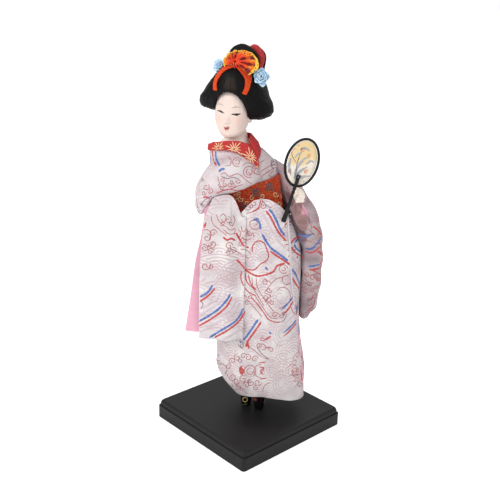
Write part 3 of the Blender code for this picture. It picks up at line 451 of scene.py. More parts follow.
def open_tree(tree, inputs, outputs):
    """Gives a tree named sockets, and returns its graph, its inputs and its outputs."""
    for way, sockets in (("INPUT", inputs), ("OUTPUT", outputs)):
        for name, (kind, value) in sockets.items():
            made = tree.interface.new_socket(name=name, in_out=way, socket_type="NodeSocket" + kind)
            if value is not None:
                made.default_value = value
    graph = Graph(tree)
    return graph, graph.node("NodeGroupInput").outputs, graph.node("NodeGroupOutput").inputs


def start_group(name, inputs, *outputs):
    """A shader group with named sockets, which reads a vector and puts out numbers."""
    tree = bpy.data.node_groups.new(name, "ShaderNodeTree")
    values = {socket: ("Float", value) for socket, value in inputs.items()}
    made = {socket: ("Float", None) for socket in outputs}
    return open_tree(tree, {"Vector": ("Vector", None), **values}, made)


def build_weave_group():
    """Threads over and under each other, as a height, with a slow change of tone."""
    graph, given, out = start_group("Woven threads", {"Threads": 34.0, "Slub": 0.3}, "Height", "Tone")
    split = graph.axes(given["Vector"])
    turns = graph.times(given["Threads"], math.pi)
    warp = graph.math("SINE", graph.times(split[0], turns))
    weft = graph.math("SINE", graph.times(split[1], turns))
    checks = graph.times(warp, weft)
    long_threads = graph.noise(graph.stretch(given["Vector"], (3, 46, 1)), 1.0, 3.0)
    slub = graph.times(long_threads, given["Slub"])
    height = graph.plus(graph.times(checks, 0.5), slub)
    graph.feed(out["Height"], height)
    graph.feed(out["Tone"], long_threads)


def build_mottle_group():
    """Cloudy patches at two scales, from 0 to 1."""
    graph, given, out = start_group("Cloudy patches", {"Size": 1.0}, "Value", "Fine")
    scale = graph.math("DIVIDE", 1.0, given["Size"])
    large = graph.noise(given["Vector"], scale, 3.0, 0.6)
    fine = graph.noise(given["Vector"], graph.times(scale, 7.0), 2.0)
    graph.feed(out["Value"], graph.between(large, 0.34, 0.66))
    graph.feed(out["Fine"], fine)


def build_scallop_group():
    """Rows of overlapping ringed scallops, the wave pattern of kimono cloth."""
    graph, given, out = start_group("Ringed scallops", {"Size": 1.3, "Rings": 5.0}, "Lines")
    split = graph.axes(given["Vector"])
    across = graph.math("DIVIDE", split[0], given["Size"])
    up = graph.math("DIVIDE", split[1], given["Size"])
    rows = 4.0
    level = graph.times(up, rows)
    base = graph.math("FLOOR", level)
    distance = None
    for step in range(5):
        row = graph.math("SUBTRACT", base, float(4 - step))
        shift = graph.times(graph.math("PINGPONG", row, 1.0), 0.5)
        moved = graph.math("SUBTRACT", across, shift)
        side = graph.math("SUBTRACT", moved, graph.math("ROUND", moved))
        rise = graph.math("DIVIDE", graph.math("SUBTRACT", level, row), rows)
        squared = graph.plus(graph.times(side, side), graph.times(rise, rise))
        here = graph.math("SQRT", squared)
        if distance is None:
            distance = here
        else:
            covered = graph.math("LESS_THAN", distance, 0.5)
            kept = graph.times(distance, covered)
            fresh = graph.times(here, graph.math("SUBTRACT", 1.0, covered))
            distance = graph.plus(kept, fresh)
    rings = graph.math("FRACT", graph.times(distance, graph.times(given["Rings"], 2.0)))
    line = graph.math("ABSOLUTE", graph.math("SUBTRACT", rings, 0.5))
    graph.feed(out["Lines"], graph.between(line, 0.26, 0.12))


def build_dust_group():
    """Sparse specks and a faint film, as a mask."""
    graph, given, out = start_group("Dust film", {}, "Mask", "Height")
    film = graph.noise(given["Vector"], 45.0, 4.0, 0.6)
    specks = graph.noise(given["Vector"], 1900.0, 1.0)
    seen = graph.between(specks, 0.7, 0.8)
    mask = graph.math("ADD", graph.times(film, 0.5), graph.times(seen, 0.5), clamp=True)
    graph.feed(out["Mask"], mask)
    graph.feed(out["Height"], graph.noise(given["Vector"], 2600.0, 3.0))


def start_material(name, roughness, uv=False, **sockets):
    """A new material's graph, with its Principled node in it, and the coordinates that it reads."""
    made = bpy.data.materials.new(name)
    made.use_nodes = True
    graph = Graph(made.node_tree)
    graph.material = made
    graph.shader = made.node_tree.nodes["Principled BSDF"]
    graph.shader.inputs["Roughness"].default_value = roughness
    for key, value in sockets.items():
        graph.shader.inputs[key.replace("_", " ")].default_value = value
    if uv:
        where = graph.node("ShaderNodeUVMap", uv_map="UVMap").outputs["UV"]
    else:
        where = graph.node("ShaderNodeTexCoord").outputs["Object"]
    return graph, where


def end_material(graph, colour, height, strength, depth):
    """Feeds a colour, and a height with its depth in millimetres, and returns the material."""
    graph.feed(graph.shader.inputs["Base Color"], colour)
    relief = graph.node("ShaderNodeBump", {"Height": height, "Strength": strength, "Distance": depth * MM})
    graph.feed(graph.shader.inputs["Normal"], relief.outputs[0])
    return graph.material


def vary_roughness(graph, value, low, high):
    """Lets a value from 0 to 1 move the roughness between two bounds."""
    spread = graph.node("ShaderNodeMapRange", {"Value": value, "To Min": low, "To Max": high})
    graph.feed(graph.shader.inputs["Roughness"], spread.outputs[0])


def kimono_satin(name="kimono_satin", white=0.75, scallop=0.62, ground=GREY_SATIN):
    """Pale lilac brocade: satin ground, cloudy grey and pink, scallops tone on tone, fine weave, and painted
    shade in the valleys of the folds.
    """
    graph, where = start_material(name, 0.48, uv=True, Sheen_Weight=0.05, Specular_IOR_Level=0.3)
    cloud = graph.group("Cloudy patches", Vector=where, Size=1.7)
    blush = graph.group("Cloudy patches", Vector=graph.stretch(where, (1, 1, 1), (7, 3, 0)), Size=1.2)
    colour = graph.mix(graph.times(cloud["Value"], white), ground, chosen("satin_colour"))
    colour = graph.mix(graph.times(blush["Value"], 0.34), colour, PINK_SATIN)
    lines = graph.group("Ringed scallops", Vector=where, Size=1.9, Rings=4.0)["Lines"]
    zone = graph.between(graph.noise(graph.stretch(where, (1, 1, 1), (2, 9, 0)), 0.5, 1.0), 0.45, 0.53)
    share = graph.times(graph.times(lines, zone), scallop)
    colour = graph.mix(share, colour, rgb(186, 150, 160))
    weave = graph.group("Woven threads", Vector=where, Threads=38.0, Slub=0.5)
    colour = graph.mix(graph.times(weave["Tone"], 0.12), colour, rgb(246, 243, 245))
    # Painted shade: the colour darkens where the value stored on the points is low, mostly in the valleys of
    # the folds.
    shade = graph.node("ShaderNodeAttribute", attribute_name="fold").outputs["Fac"]
    colour = graph.mix(graph.between(shade, 0.45, 0.1), colour, rgb(172, 156, 166), "MULTIPLY")
    return end_material(graph, colour, graph.plus(weave["Height"], graph.times(lines, 0.5)), 0.35, 0.08)


def thread_material(name, colour, dark, roughness=0.5):
    """Woven print: one colour that lightens and darkens from thread to thread."""
    graph, where = start_material(name, roughness, Specular_IOR_Level=0.2)
    cloud = graph.group("Cloudy patches", Vector=where, Size=0.004)
    tone = graph.mix(cloud["Value"], colour, dark)
    tone = graph.mix(graph.times(cloud["Fine"], 0.12), tone, WHITE_SATIN)
    return end_material(graph, tone, graph.noise(where, 3500.0, 2.0), 0.3, 0.05)


def plain_cloth(name, colour, shade, threads=30.0, roughness=0.65, relief=0.35, crepe=0.0):
    """Dyed cloth with a weave, a cloudy shade and, for crepe, a grainy surface."""
    graph, where = start_material(name, roughness, uv=True, Specular_IOR_Level=0.15)
    cloud = graph.group("Cloudy patches", Vector=where, Size=0.8)
    weave = graph.group("Woven threads", Vector=where, Threads=threads, Slub=0.6)
    tone = graph.mix(graph.times(cloud["Value"], 0.5), colour, shade)
    tone = graph.mix(graph.times(weave["Tone"], 0.12), tone, rgb(235, 200, 190))
    grain = graph.times(graph.noise(where, 26.0, 2.0), crepe)
    return end_material(graph, tone, graph.plus(weave["Height"], grain), relief, 0.12)


def speckled_crepe():
    """Orange-red crepe with small darker specks and paler edges of the weave."""
    graph, where = start_material("orange_ribbon_crepe", 0.8, uv=True, Specular_IOR_Level=0.1)
    specks = graph.between(graph.noise(where, 13.0, 1.0), 0.56, 0.64)
    pale = graph.between(graph.noise(graph.stretch(where, (1, 1, 1), (5, 2, 0)), 9.0, 1.0), 0.55, 0.68)
    colour = graph.mix(graph.times(pale, 0.5), chosen("ribbon_colour"), rgb(232, 110, 50))
    colour = graph.mix(graph.times(specks, 0.75), colour, rgb(160, 28, 12))
    return end_material(graph, colour, graph.noise(where, 30.0, 2.0), 0.7, 0.12)


def piping_cloth():
    """Piping that is pink along the lower half and fades into the kimono's white above."""
    graph, where = start_material("piping_cloth", 0.55)
    split = graph.axes(where)
    upper = graph.between(split[2], STAND_TOP + 80 * MM, STAND_TOP + 104 * MM)
    cloud = graph.group("Cloudy patches", Vector=where, Size=0.006)
    pink = graph.mix(cloud["Value"], chosen("lining_colour"), rgb(222, 146, 172))
    colour = graph.mix(upper, pink, rgb(222, 212, 218))
    return end_material(graph, colour, graph.noise(where, 2500.0, 2.0), 0.3, 0.05)


def obi_brocade():
    """Orange-red brocade with gold twigs and dark patches."""
    graph, where = start_material("obi_brocade", 0.5, uv=True, Specular_IOR_Level=0.2)
    cloud = graph.group("Cloudy patches", Vector=where, Size=0.7)
    twigs = graph.noise(graph.stretch(where, (1, 1, 1), (4, 4, 0)), 5.5, 2.0)
    line = graph.between(graph.math("ABSOLUTE", graph.math("SUBTRACT", twigs, 0.5)), 0.035, 0.012)
    patch = graph.between(graph.noise(where, 2.1, 1.0), 0.55, 0.62)
    colour = graph.mix(cloud["Value"], chosen("sash_colour"), rgb(176, 30, 20))
    colour = graph.mix(graph.times(patch, 0.25), colour, rgb(200, 96, 24))
    colour = graph.mix(graph.times(line, 0.6), colour, OBI_GOLD)
    weave = graph.group("Woven threads", Vector=where, Threads=28.0, Slub=0.8)
    colour = graph.mix(graph.times(weave["Tone"], 0.25), colour, rgb(140, 20, 14))
    return end_material(graph, colour, graph.plus(weave["Height"], line), 0.5, 0.12)


def skin_material():
    """Cast skin: a warm pale ground, pink cheeks, a grey fade along the hairline, and painted light on the
    throat.
    """
    graph, where = start_material("doll_skin", 0.42, Subsurface_Weight=0.12, Subsurface_Scale=0.002,
                                  Subsurface_Radius=(1.0, 0.45, 0.3))
    inward = graph.node("ShaderNodeMapping", {
        "Vector": where, "Location": HEAD.translation, "Rotation": HEAD.to_euler("XYZ")},
        vector_type="TEXTURE").outputs[0]
    cloud = graph.group("Cloudy patches", Vector=where, Size=0.012)
    colour = graph.mix(graph.times(cloud["Value"], 0.35), SKIN_TONE, rgb(241, 217, 207))
    for x, z, size, strength in ((-8, -5.5, 5.5, 0.42), (9, -5, 6.5, 0.42), (0.8, -15.5, 4.0, 0.2)):
        centre = Vector((x * MM, -13 * MM, z * MM))
        away = graph.node("ShaderNodeVectorMath", {0: inward, 1: centre}, operation="DISTANCE")
        share = graph.times(graph.between(away.outputs["Value"], size * MM, 0.0), strength)
        colour = graph.mix(share, colour, rgb(240, 188, 176))
    split = graph.axes(inward)
    wide = graph.math("DIVIDE", split[0], 12.4 * MM)
    tall = graph.math("DIVIDE", graph.math("MAXIMUM", split[2], 0.0), 15.6 * MM)
    rim = graph.math("SQRT", graph.plus(graph.times(wide, wide), graph.times(tall, tall)))
    above = graph.between(split[2], 0.5 * MM, 5 * MM)
    fade = graph.times(graph.between(rim, 0.80, 1.02), above)
    colour = graph.mix(graph.times(fade, 0.62), colour, rgb(150, 146, 150))
    # Painted light: the throat under the chin, which the head shades, is painted paler.
    throat_painted_light = graph.between(split[2], -16 * MM, -20 * MM)
    colour = graph.mix(throat_painted_light, colour, rgb(255, 240, 228))
    return end_material(graph, colour, graph.noise(where, 900.0, 3.0), 0.06, 0.05)


def hair_material():
    """Dressed hair: fine combed strands that run along the UV map, with a soft gloss and a highlight painted
    on the front of the crown.
    """
    graph, where = start_material("combed_hair", 0.45, uv=True, Specular_IOR_Level=0.08)
    strands = graph.noise(graph.stretch(where, (60, 0.9, 1)), 1.0, 4.0, 0.7)
    locks = graph.noise(graph.stretch(where, (11, 0.35, 1)), 1.0, 2.0)
    colour = graph.mix(graph.between(strands, 0.42, 0.78), HAIR_BLACK, rgb(36, 32, 32))
    split = graph.axes(where)
    # Painted highlight: a paler patch on the front of the crown, broken by the locks.
    crown = graph.times(graph.between(split[1], 0.2, 0.5), graph.between(split[1], 1.5, 0.9))
    front = graph.between(graph.math("ABSOLUTE", split[0]), 1.5, 0.5)
    crown_highlight = graph.times(graph.times(crown, front), graph.between(locks, 0.3, 0.7))
    colour = graph.mix(graph.times(crown_highlight, 0.45), colour, rgb(88, 78, 68))
    vary_roughness(graph, strands, 0.34, 0.56)
    return end_material(graph, colour, graph.plus(strands, locks), 0.55, 0.18)


def bow_material():
    """Tie-dyed crepe: red-orange inside with yellow flecks, painted shade in the valleys of its crumples, and
    a yellow rim.
    """
    graph, where = start_material("bow_crepe", 0.8, uv=True)
    split = graph.axes(where)
    ragged = graph.noise(where, 3.2, 3.0)
    reach = graph.plus(split[1], graph.times(graph.math("SUBTRACT", ragged, 0.5), 0.2))
    rim = graph.between(split[1], 0.84, 0.88)
    flecks = graph.between(graph.noise(graph.stretch(where, (2.0, 4, 1)), 2.4, 2.0), 0.44, 0.54)
    colour = graph.mix(graph.noise(where, 1.7, 2.0), BOW_RED, rgb(228, 74, 16))
    inner = graph.times(flecks, graph.between(reach, 0.45, 0.75))
    colour = graph.mix(graph.times(inner, 0.9), colour, rgb(240, 158, 28))
    # Painted shade: darker where the value stored on the points is low, in the valleys of the crumples.
    shade = graph.node("ShaderNodeAttribute", attribute_name="fold").outputs["Fac"]
    colour = graph.mix(graph.between(shade, 0.5, 0.15), colour, rgb(130, 40, 20), "MULTIPLY")
    colour = graph.mix(rim, colour, RIM_YELLOW)
    return end_material(graph, colour, graph.noise(where, 14.0, 3.0), 0.5, 0.2)


def paper_material():
    """Painted fan paper: a cream ground with a golden cloud above and fine fibres."""
    graph, where = start_material("fan_painting", 0.7)
    low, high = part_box("fan_leaf")
    split = graph.axes(where)
    rise = graph.between(split[2], low[2], high[2])
    cloud = graph.noise(where, 110.0, 3.0)
    gold = graph.between(graph.plus(rise, graph.times(cloud, 0.7)), 0.72, 1.0)
    colour = graph.mix(gold, rgb(228, 219, 206), rgb(224, 196, 144))
    stain = graph.between(graph.noise(graph.stretch(where, (1, 1, 1), (0.2, 0, 0)), 150.0, 2.0), 0.55, 0.7)
    colour = graph.mix(graph.times(stain, 0.3), colour, rgb(214, 176, 120))
    fibre = graph.noise(graph.stretch(where, (700, 700, 3200)), 1.0, 3.0)
    return end_material(graph, graph.mix(graph.times(fibre, 0.2), colour, PAPER_CREAM), fibre, 0.25, 0.06)


def hard_material(name, colour, light, roughness, metallic=0.0, coat=0.0, film=0.3):
    """Painted wood, lacquer or steel under a thin film of dust."""
    graph, where = start_material(name, roughness, Metallic=metallic, Coat_Weight=coat, Coat_Roughness=0.2)
    if not metallic:
        graph.shader.inputs["Specular IOR Level"].default_value = 0.22
    dust = graph.group("Dust film", Vector=where)
    share = graph.times(dust["Mask"], film)
    vary_roughness(graph, dust["Mask"], roughness, roughness + 0.2)
    return end_material(graph, graph.mix(share, colour, light), dust["Height"], 0.12, 0.05)


def petal_material(name, colour, shade):
    """Thin cloth petals, in cloudy patches of two tones."""
    graph, where = start_material(name, 0.65, Sheen_Weight=0.3)
    cloud = graph.group("Cloudy patches", Vector=where, Size=0.003)
    colour = graph.mix(cloud["Value"], colour, shade)
    return end_material(graph, colour, graph.noise(where, 2500.0, 2.0), 0.3, 0.08)


def make_materials():
    """Every finish of the doll, by name."""
    for build in (build_weave_group, build_mottle_group, build_scallop_group, build_dust_group):
        build()
    return {
        "satin": kimono_satin(),
        "satin_upper": kimono_satin("kimono_satin_upper", 0.42, 0.4, rgb(192, 179, 183)),
        # A darker copy of the satin, as painted shade, for the left sleeve that turns away from the light.
        "satin_shaded": kimono_satin("kimono_satin_grey", 0.3, 0.7, rgb(140, 119, 124)),
        "red_line": thread_material("print_red_line", LINE_RED, rgb(184, 88, 88)),
        "dark_line": thread_material("print_dark_line", LINE_DARK, rgb(92, 62, 92)),
        "red": thread_material("print_red", STRIPE_RED, rgb(200, 66, 66)),
        "blue": thread_material("print_blue", STRIPE_BLUE, rgb(86, 122, 190)),
        "smoke": thread_material("print_smoke", SMOKE, rgb(214, 198, 206)),
        "tone": thread_material("print_tone", TONE_LINE, rgb(208, 184, 190)),
        "lining": plain_cloth("pink_lining_cloth", chosen("lining_colour"), rgb(228, 166, 188)),
        "piping": piping_cloth(),
        "collar": plain_cloth("red_collar_brocade", chosen("collar_colour"), rgb(168, 18, 30), threads=22.0,
                              relief=0.5),
        "nape": plain_cloth("red_collar_cloth", chosen("collar_colour"), rgb(160, 16, 28), threads=30.0),
        "tie_dye": plain_cloth("red_roll_cloth", rgb(196, 24, 34), rgb(140, 10, 18), crepe=2.0, relief=0.8),
        "gold": thread_material("gold_thread", GOLD_THREAD, rgb(246, 232, 190), 0.4),
        "obi": obi_brocade(),
        "obi_dark": thread_material("obi_dark_thread", OBI_DARK, rgb(96, 84, 92)),
        "skin": skin_material(),
        "hair": hair_material(),
        "eye": petal_material("eye_paint", rgb(26, 20, 22), rgb(34, 26, 28)),
        "brow": petal_material("brow_paint", rgb(186, 164, 160), rgb(168, 150, 148)),
        "lip": petal_material("lip_paint", rgb(176, 38, 32), rgb(160, 30, 28)),
        "ribbon": speckled_crepe(),
        "bow": bow_material(),
        "dot": petal_material("bow_dark_dot", rgb(92, 34, 20), rgb(60, 26, 18)),
        "rose": petal_material("rose_cloth", chosen("rose_colour"), rgb(178, 214, 242)),
        "lacquer": hard_material("black_lacquer", LACQUER_BLACK, rgb(40, 38, 36), 0.3, coat=0.12, film=0.25),
        "board": hard_material("board_paint", rgb(26, 25, 27), rgb(60, 58, 60), 0.36, film=0.3),
        "steel": hard_material("steel_wire", rgb(170, 172, 176), rgb(120, 120, 120), 0.3, metallic=1.0),
        "paper": paper_material(),
        "paint_grey": thread_material("fan_grey_paint", rgb(150, 152, 160), rgb(176, 176, 180), 0.7),
        "paint_rust": thread_material("fan_rust_paint", rgb(196, 110, 84), rgb(214, 150, 116), 0.7),
        "sock": plain_cloth("sock_cotton", rgb(238, 236, 230), rgb(220, 216, 208), threads=22.0),
        "cuff_painted_shadow": plain_cloth("cuff_shadow_cloth", rgb(176, 144, 143), rgb(118, 92, 90), threads=30.0),
        "wadding": plain_cloth("stuffing_cotton", rgb(232, 224, 204), rgb(210, 198, 172), threads=12.0,
                               crepe=2.0),
        "flower_yellow": thread_material("clog_yellow", rgb(232, 206, 96), rgb(244, 226, 150), 0.4),
        "flower_red": thread_material("clog_red", rgb(168, 34, 36), rgb(196, 60, 52), 0.4),
        "leaf_green": thread_material("clog_green", rgb(64, 96, 44), rgb(96, 126, 62), 0.4),
    }


# Threads of print laid on the cloth along lines of sight

def sight(turn=0.0):
    """The photograph's camera as a matrix, carried round the doll's axis by an angle."""
    cos_yaw, sin_yaw = math.cos(CAMERA_YAW), math.sin(CAMERA_YAW)
    cos_pitch, sin_pitch = math.cos(CAMERA_PITCH), math.sin(CAMERA_PITCH)
    forward = Vector((-sin_yaw * cos_pitch, cos_yaw * cos_pitch, -sin_pitch))
    level = Vector((cos_yaw, sin_yaw, 0))
    upright = level.cross(forward)
    right = level * math.cos(CAMERA_ROLL) + upright * math.sin(CAMERA_ROLL)
    up = upright * math.cos(CAMERA_ROLL) - level * math.sin(CAMERA_ROLL)
    place = Matrix((right, up, -forward)).transposed().to_4x4()
    place.translation = CAMERA_PLACE
    axis = Matrix.Translation(doll(*BODY_AXIS, 0))
    return axis @ Matrix.Rotation(turn, 4, "Z") @ axis.inverted() @ place


def line(*numbers):
    """A smooth line through pixels of the photograph, given as x, y, x, y and so on."""
    return np.array(numbers, dtype=float).reshape(-1, 2)


def arc(x, y, radius, start, end, squash=1.0):
    """Part of a circle, from one angle to another in degrees; 90 is upwards."""
    turns = np.radians(np.linspace(start, end, max(4, int(abs(end - start) / 30) + 2)))
    return np.column_stack([x + radius * np.cos(turns), y - radius * squash * np.sin(turns)])


def curl(x, y, radius, start=0, turns=1.4, hand=1):
    """A scroll that winds inwards from its outer end."""
    steps = max(8, int(turns * 12))
    shares = np.linspace(0, 1, steps)
    angles = math.radians(start) + hand * shares * turns * 2 * math.pi
    reach = radius * (1 - 0.8 * shares)
    return np.column_stack([x + reach * np.cos(angles), y - reach * np.sin(angles)])


def spaced(points, step, smooth=True):
    """Even samples along a smooth line through points."""
    if len(points) > 2 and smooth:
        padded = np.vstack([2 * points[0] - points[1], points, 2 * points[-1] - points[-2]])
        fine = []
        for i in range(1, len(padded) - 2):
            p0, p1, p2, p3 = padded[i - 1:i + 3]
            for t in np.linspace(0, 1, 8, endpoint=False):
                fine.append(0.5 * (2 * p1 + (p2 - p0) * t + (2 * p0 - 5 * p1 + 4 * p2 - p3) * t * t
                                   + (3 * p1 - p0 - 3 * p2 + p3) * t ** 3))
        fine.append(points[-1])
        points = np.array(fine)
    reach = np.concatenate([[0], np.cumsum(np.linalg.norm(np.diff(points, axis=0), axis=1))])
    count = max(3, int(reach[-1] / step) + 1)
    places = np.linspace(0, reach[-1], count)
    return np.column_stack([np.interp(places, reach, points[:, k]) for k in range(points.shape[1])])


class Ground:
    """The surfaces that print is laid on, with those that may hide them."""

    def __init__(self, printed, others):
        points, faces, self.owner = [], [], []
        for piece in list(printed) + list(others):
            base = len(points)
            points += [v.co.copy() for v in piece.data.vertices]
            for face in piece.data.polygons:
                faces.append(tuple(base + i for i in face.vertices))
                self.owner.append(piece.name)
        self.names = {piece.name for piece in printed}
        self.tree = BVHTree.FromPolygons(points, faces)

    def look(self, view, x, y):
        """Where a pixel's line of sight meets a printed surface, as its place and normal, or None."""
        toward = Vector(((x - PHOTO_WIDTH / 2) / FOCAL_PIXELS, (PHOTO_WIDTH / 2 - y) / FOCAL_PIXELS, -1))
        direction = (view.to_3x3() @ toward).normalized()
        place, normal, index, _ = self.tree.ray_cast(view.translation, direction)
        if place is None or self.owner[index] not in self.names or normal.dot(direction) > GRAZING:
            return None
        return place, normal

    def nearest(self, place):
        """The nearest printed surface to a place."""
        found, normal, index, _ = self.tree.find_nearest(place, 4 * MM)
        if found is None or self.owner[index] not in self.names:
            return None
        return found, normal


def lay_thread(solid, ground, run, half_widths, lift, across):
    """A thin closed band along points of a surface, as wide as each half width says."""
    last = len(run) - 1
    rows = []
    for i, (place, normal) in enumerate(run):
        tangent = run[min(i + 1, last)][0] - run[max(i - 1, 0)][0]
        side = normal.cross(tangent)
        if side.length < 1e-9:
            return
        side.normalize()
        row = []
        for k in range(across + 1):
            share = 2 * k / across - 1
            seat = ground.nearest(place + side * share * half_widths[i])
            point, up = seat if seat else (place, normal)
            row.append((point, up if up.dot(normal) > 0.3 else normal))
        rows.append(row)
    top = [[solid.verts.new(point + up * lift) for point, up in row] for row in rows]
    sunk = [[solid.verts.new(point - up * lift * 1.6) for point, up in (row[0], row[-1])] for row in rows]
    for i in range(last):
        for k in range(across):
            solid.faces.new((top[i][k], top[i + 1][k], top[i + 1][k + 1], top[i][k + 1]))
        solid.faces.new((sunk[i][0], sunk[i + 1][0], top[i + 1][0], top[i][0]))
        solid.faces.new((top[i][across], top[i + 1][across], sunk[i + 1][1], sunk[i][1]))
        solid.faces.new((sunk[i][1], sunk[i + 1][1], sunk[i + 1][0], sunk[i][0]))
    for i in (0, last):
        ends = (sunk[i][0], *top[i], sunk[i][1])
        solid.faces.new(ends if i == 0 else ends[::-1])


def lay_motifs(solid, ground, motifs, view, half_width, lift=PRINT_LIFT, taper=1.0, across=1):
    """Lays a list of lines of sight as bands, broken where the surface breaks."""
    for order, points in enumerate(motifs):
        run = []
        runs = []
        for x, y in spaced(points, THREAD_STEP):
            seen = ground.look(view, x, y)
            if seen and (not run or (seen[0] - run[-1][0]).length < JUMP):
                run.append(seen)
                continue
            runs.append(run)
            run = [seen] if seen else []
        runs.append(run)
        for run in runs:
            if len(run) < 3:
                continue
            count = len(run)
            widths = []
            for i in range(count):
                end = min(i, count - 1 - i) / max(1.0, taper * 2)
                wobble = 1 + 0.14 * math.sin(1.3 * i + order) + 0.08 * math.sin(0.37 * i + 2 * order)
                widths.append(half_width * MM * wobble * (0.35 + 0.65 * min(1.0, end)))
            lay_thread(solid, ground, run, widths, lift * MM, across)


def print_piece(name, ground, motifs, views, half_width, finish, slot, across=1, lift=PRINT_LIFT, taper=1.0):
    """One piece that holds all print of one colour and width."""
    solid = bmesh.new()
    for view in views:
        lay_motifs(solid, ground, motifs, view, half_width, lift, taper, across)
    bmesh.ops.recalc_face_normals(solid, faces=solid.faces[:])
    return dress(piece_of(name, solid), finish, slot)


# Motifs of the print, as lines of sight through pixels of the photograph

def small_curls(*rows):
    """Curls at given places, each as x, y, radius and starting angle."""
    return [curl(*row, turns=1.25, hand=1 if i % 2 else -1) for i, row in enumerate(rows)]


BOLD_LEAF = line(252, 252, 253, 245, 258, 241, 264, 243, 267, 250, 268.5, 256, 266, 261, 261, 263.5,
                 256, 268.5, 252.5, 270, 246, 269)
BOLD_STEMS = [
    line(241.5, 271, 241, 279, 245, 288, 250, 293, 256, 295.5), line(245, 273, 247, 282, 254, 289),
    line(248.5, 275, 250.5, 283, 256, 290), line(251, 297, 258, 305, 264, 313, 268, 319, 275, 322, 281, 322)]
RED_LINES = [
    line(220.4, 174.6, 224.8, 172.9, 229.3, 176.4, 236.4, 173.8, 240.9, 175.5, 246, 180, 252, 184),
    line(217.7, 176.4, 219.5, 183.6, 222, 187, 228, 186, 232, 188.5, 238, 186, 243, 184.5),
    line(216, 193.4, 227.5, 189.4, 238, 190.5, 247, 188, 256, 184, 268, 179.5),
    line(213, 150, 213.2, 159.5, 216.3, 166), arc(237.3, 162.1, 4.6, 20, 300),
    arc(237.3, 162.1, 2.2, 200, 520), arc(249, 172, 5.6, -30, 290), arc(249, 172, 3.0, 100, 420),
    arc(243, 153, 4, 180, 330), line(228, 157, 231, 160, 230, 165, 225, 166),
    line(242, 166, 246, 163, 252, 164, 256, 169), line(261, 200, 258, 208, 252, 212, 246, 213.5),
    line(262.5, 200, 261, 206, 256, 210.5, 249, 213), line(211, 216, 213, 224, 220, 230, 227, 236),
    line(216, 214, 219, 221, 226, 227), line(220, 217, 223, 214, 226, 217, 224, 222, 221, 219),
    line(233, 215, 235, 220, 232, 227), line(226, 226, 230, 230, 235, 229, 234, 235),
    line(223, 229, 229, 234, 237, 233), line(241, 226, 243, 232, 247, 229, 249, 236, 253, 233, 254, 238),
    line(242, 238, 247, 240, 252, 238), line(238, 229, 241, 233, 239, 238), BOLD_LEAF,
    line(251, 254, 246, 250, 240, 249), line(249.5, 258, 243, 256, 236, 251, 229, 249),
    line(201, 232, 206, 229.5, 211, 233, 209, 240), line(214, 242, 209, 246, 203, 244), *BOLD_STEMS,
    line(255, 296, 262, 306, 270, 317, 278, 318.5), line(243, 292, 247, 299, 254, 307, 262, 317),
    line(256, 277, 257, 286, 261, 294, 267, 303, 274, 312), line(252, 277, 253, 287, 258, 296, 264, 306),
    line(264, 279, 271, 283, 267, 289, 265, 293, 271, 296, 266, 300, 271, 304),
    arc(283.5, 269, 4.2, 0, 330), arc(286.5, 280, 4.4, 60, 390), arc(283.5, 269, 1.9, 180, 480),
    line(277, 290, 283, 287, 289, 291, 290, 299, 286, 305, 279, 309), line(271, 284, 276, 279, 283, 277),
    line(247, 340, 249, 346, 255, 351, 262, 356.8, 269, 359.3),
    line(258, 347, 262, 344, 266, 347.5, 262, 350.5), line(265.4, 347.5, 270.4, 347.8),
    line(258.4, 363, 266, 362), line(259.8, 379, 266.8, 378), line(259, 366.7, 264, 368, 259.5, 375),
    line(271, 382, 264.7, 385.6, 262.3, 392), arc(250, 371, 5.8, -60, 240), arc(250, 371, 3.2, 60, 360),
    arc(260.5, 371, 6.5, 80, 280), line(230, 392, 236, 389, 243, 391, 249, 394),
    line(292.8, 364, 297, 367, 295, 372, 291.5, 370, 294, 376.5, 298.4, 375),
    line(303, 272, 307, 276, 312, 275, 316, 279, 320, 281), line(304, 278, 309, 282, 315, 283),
    line(308, 311, 313, 306, 315, 300), line(290, 303, 292, 310, 296, 316),
    line(286, 186, 290, 193, 293, 201), line(300, 236, 306, 240, 312, 242)]
RED_BOLD = [
    BOLD_LEAF, *BOLD_STEMS, line(216, 193.4, 227.5, 189.4, 238, 190.5, 247, 188),
    line(258.4, 363, 266, 362), line(259.8, 379, 266.8, 378), line(259, 366.7, 264, 368),
    line(264, 368, 260.5, 371, 263.5, 375), line(240.5, 367, 243.5, 371, 241.5, 375),
    line(239, 368, 242, 371, 240, 374), line(265.4, 347.5, 270.4, 347.8),
    line(261, 200, 258, 208, 252, 212), line(308, 311, 313, 306, 315, 300)]
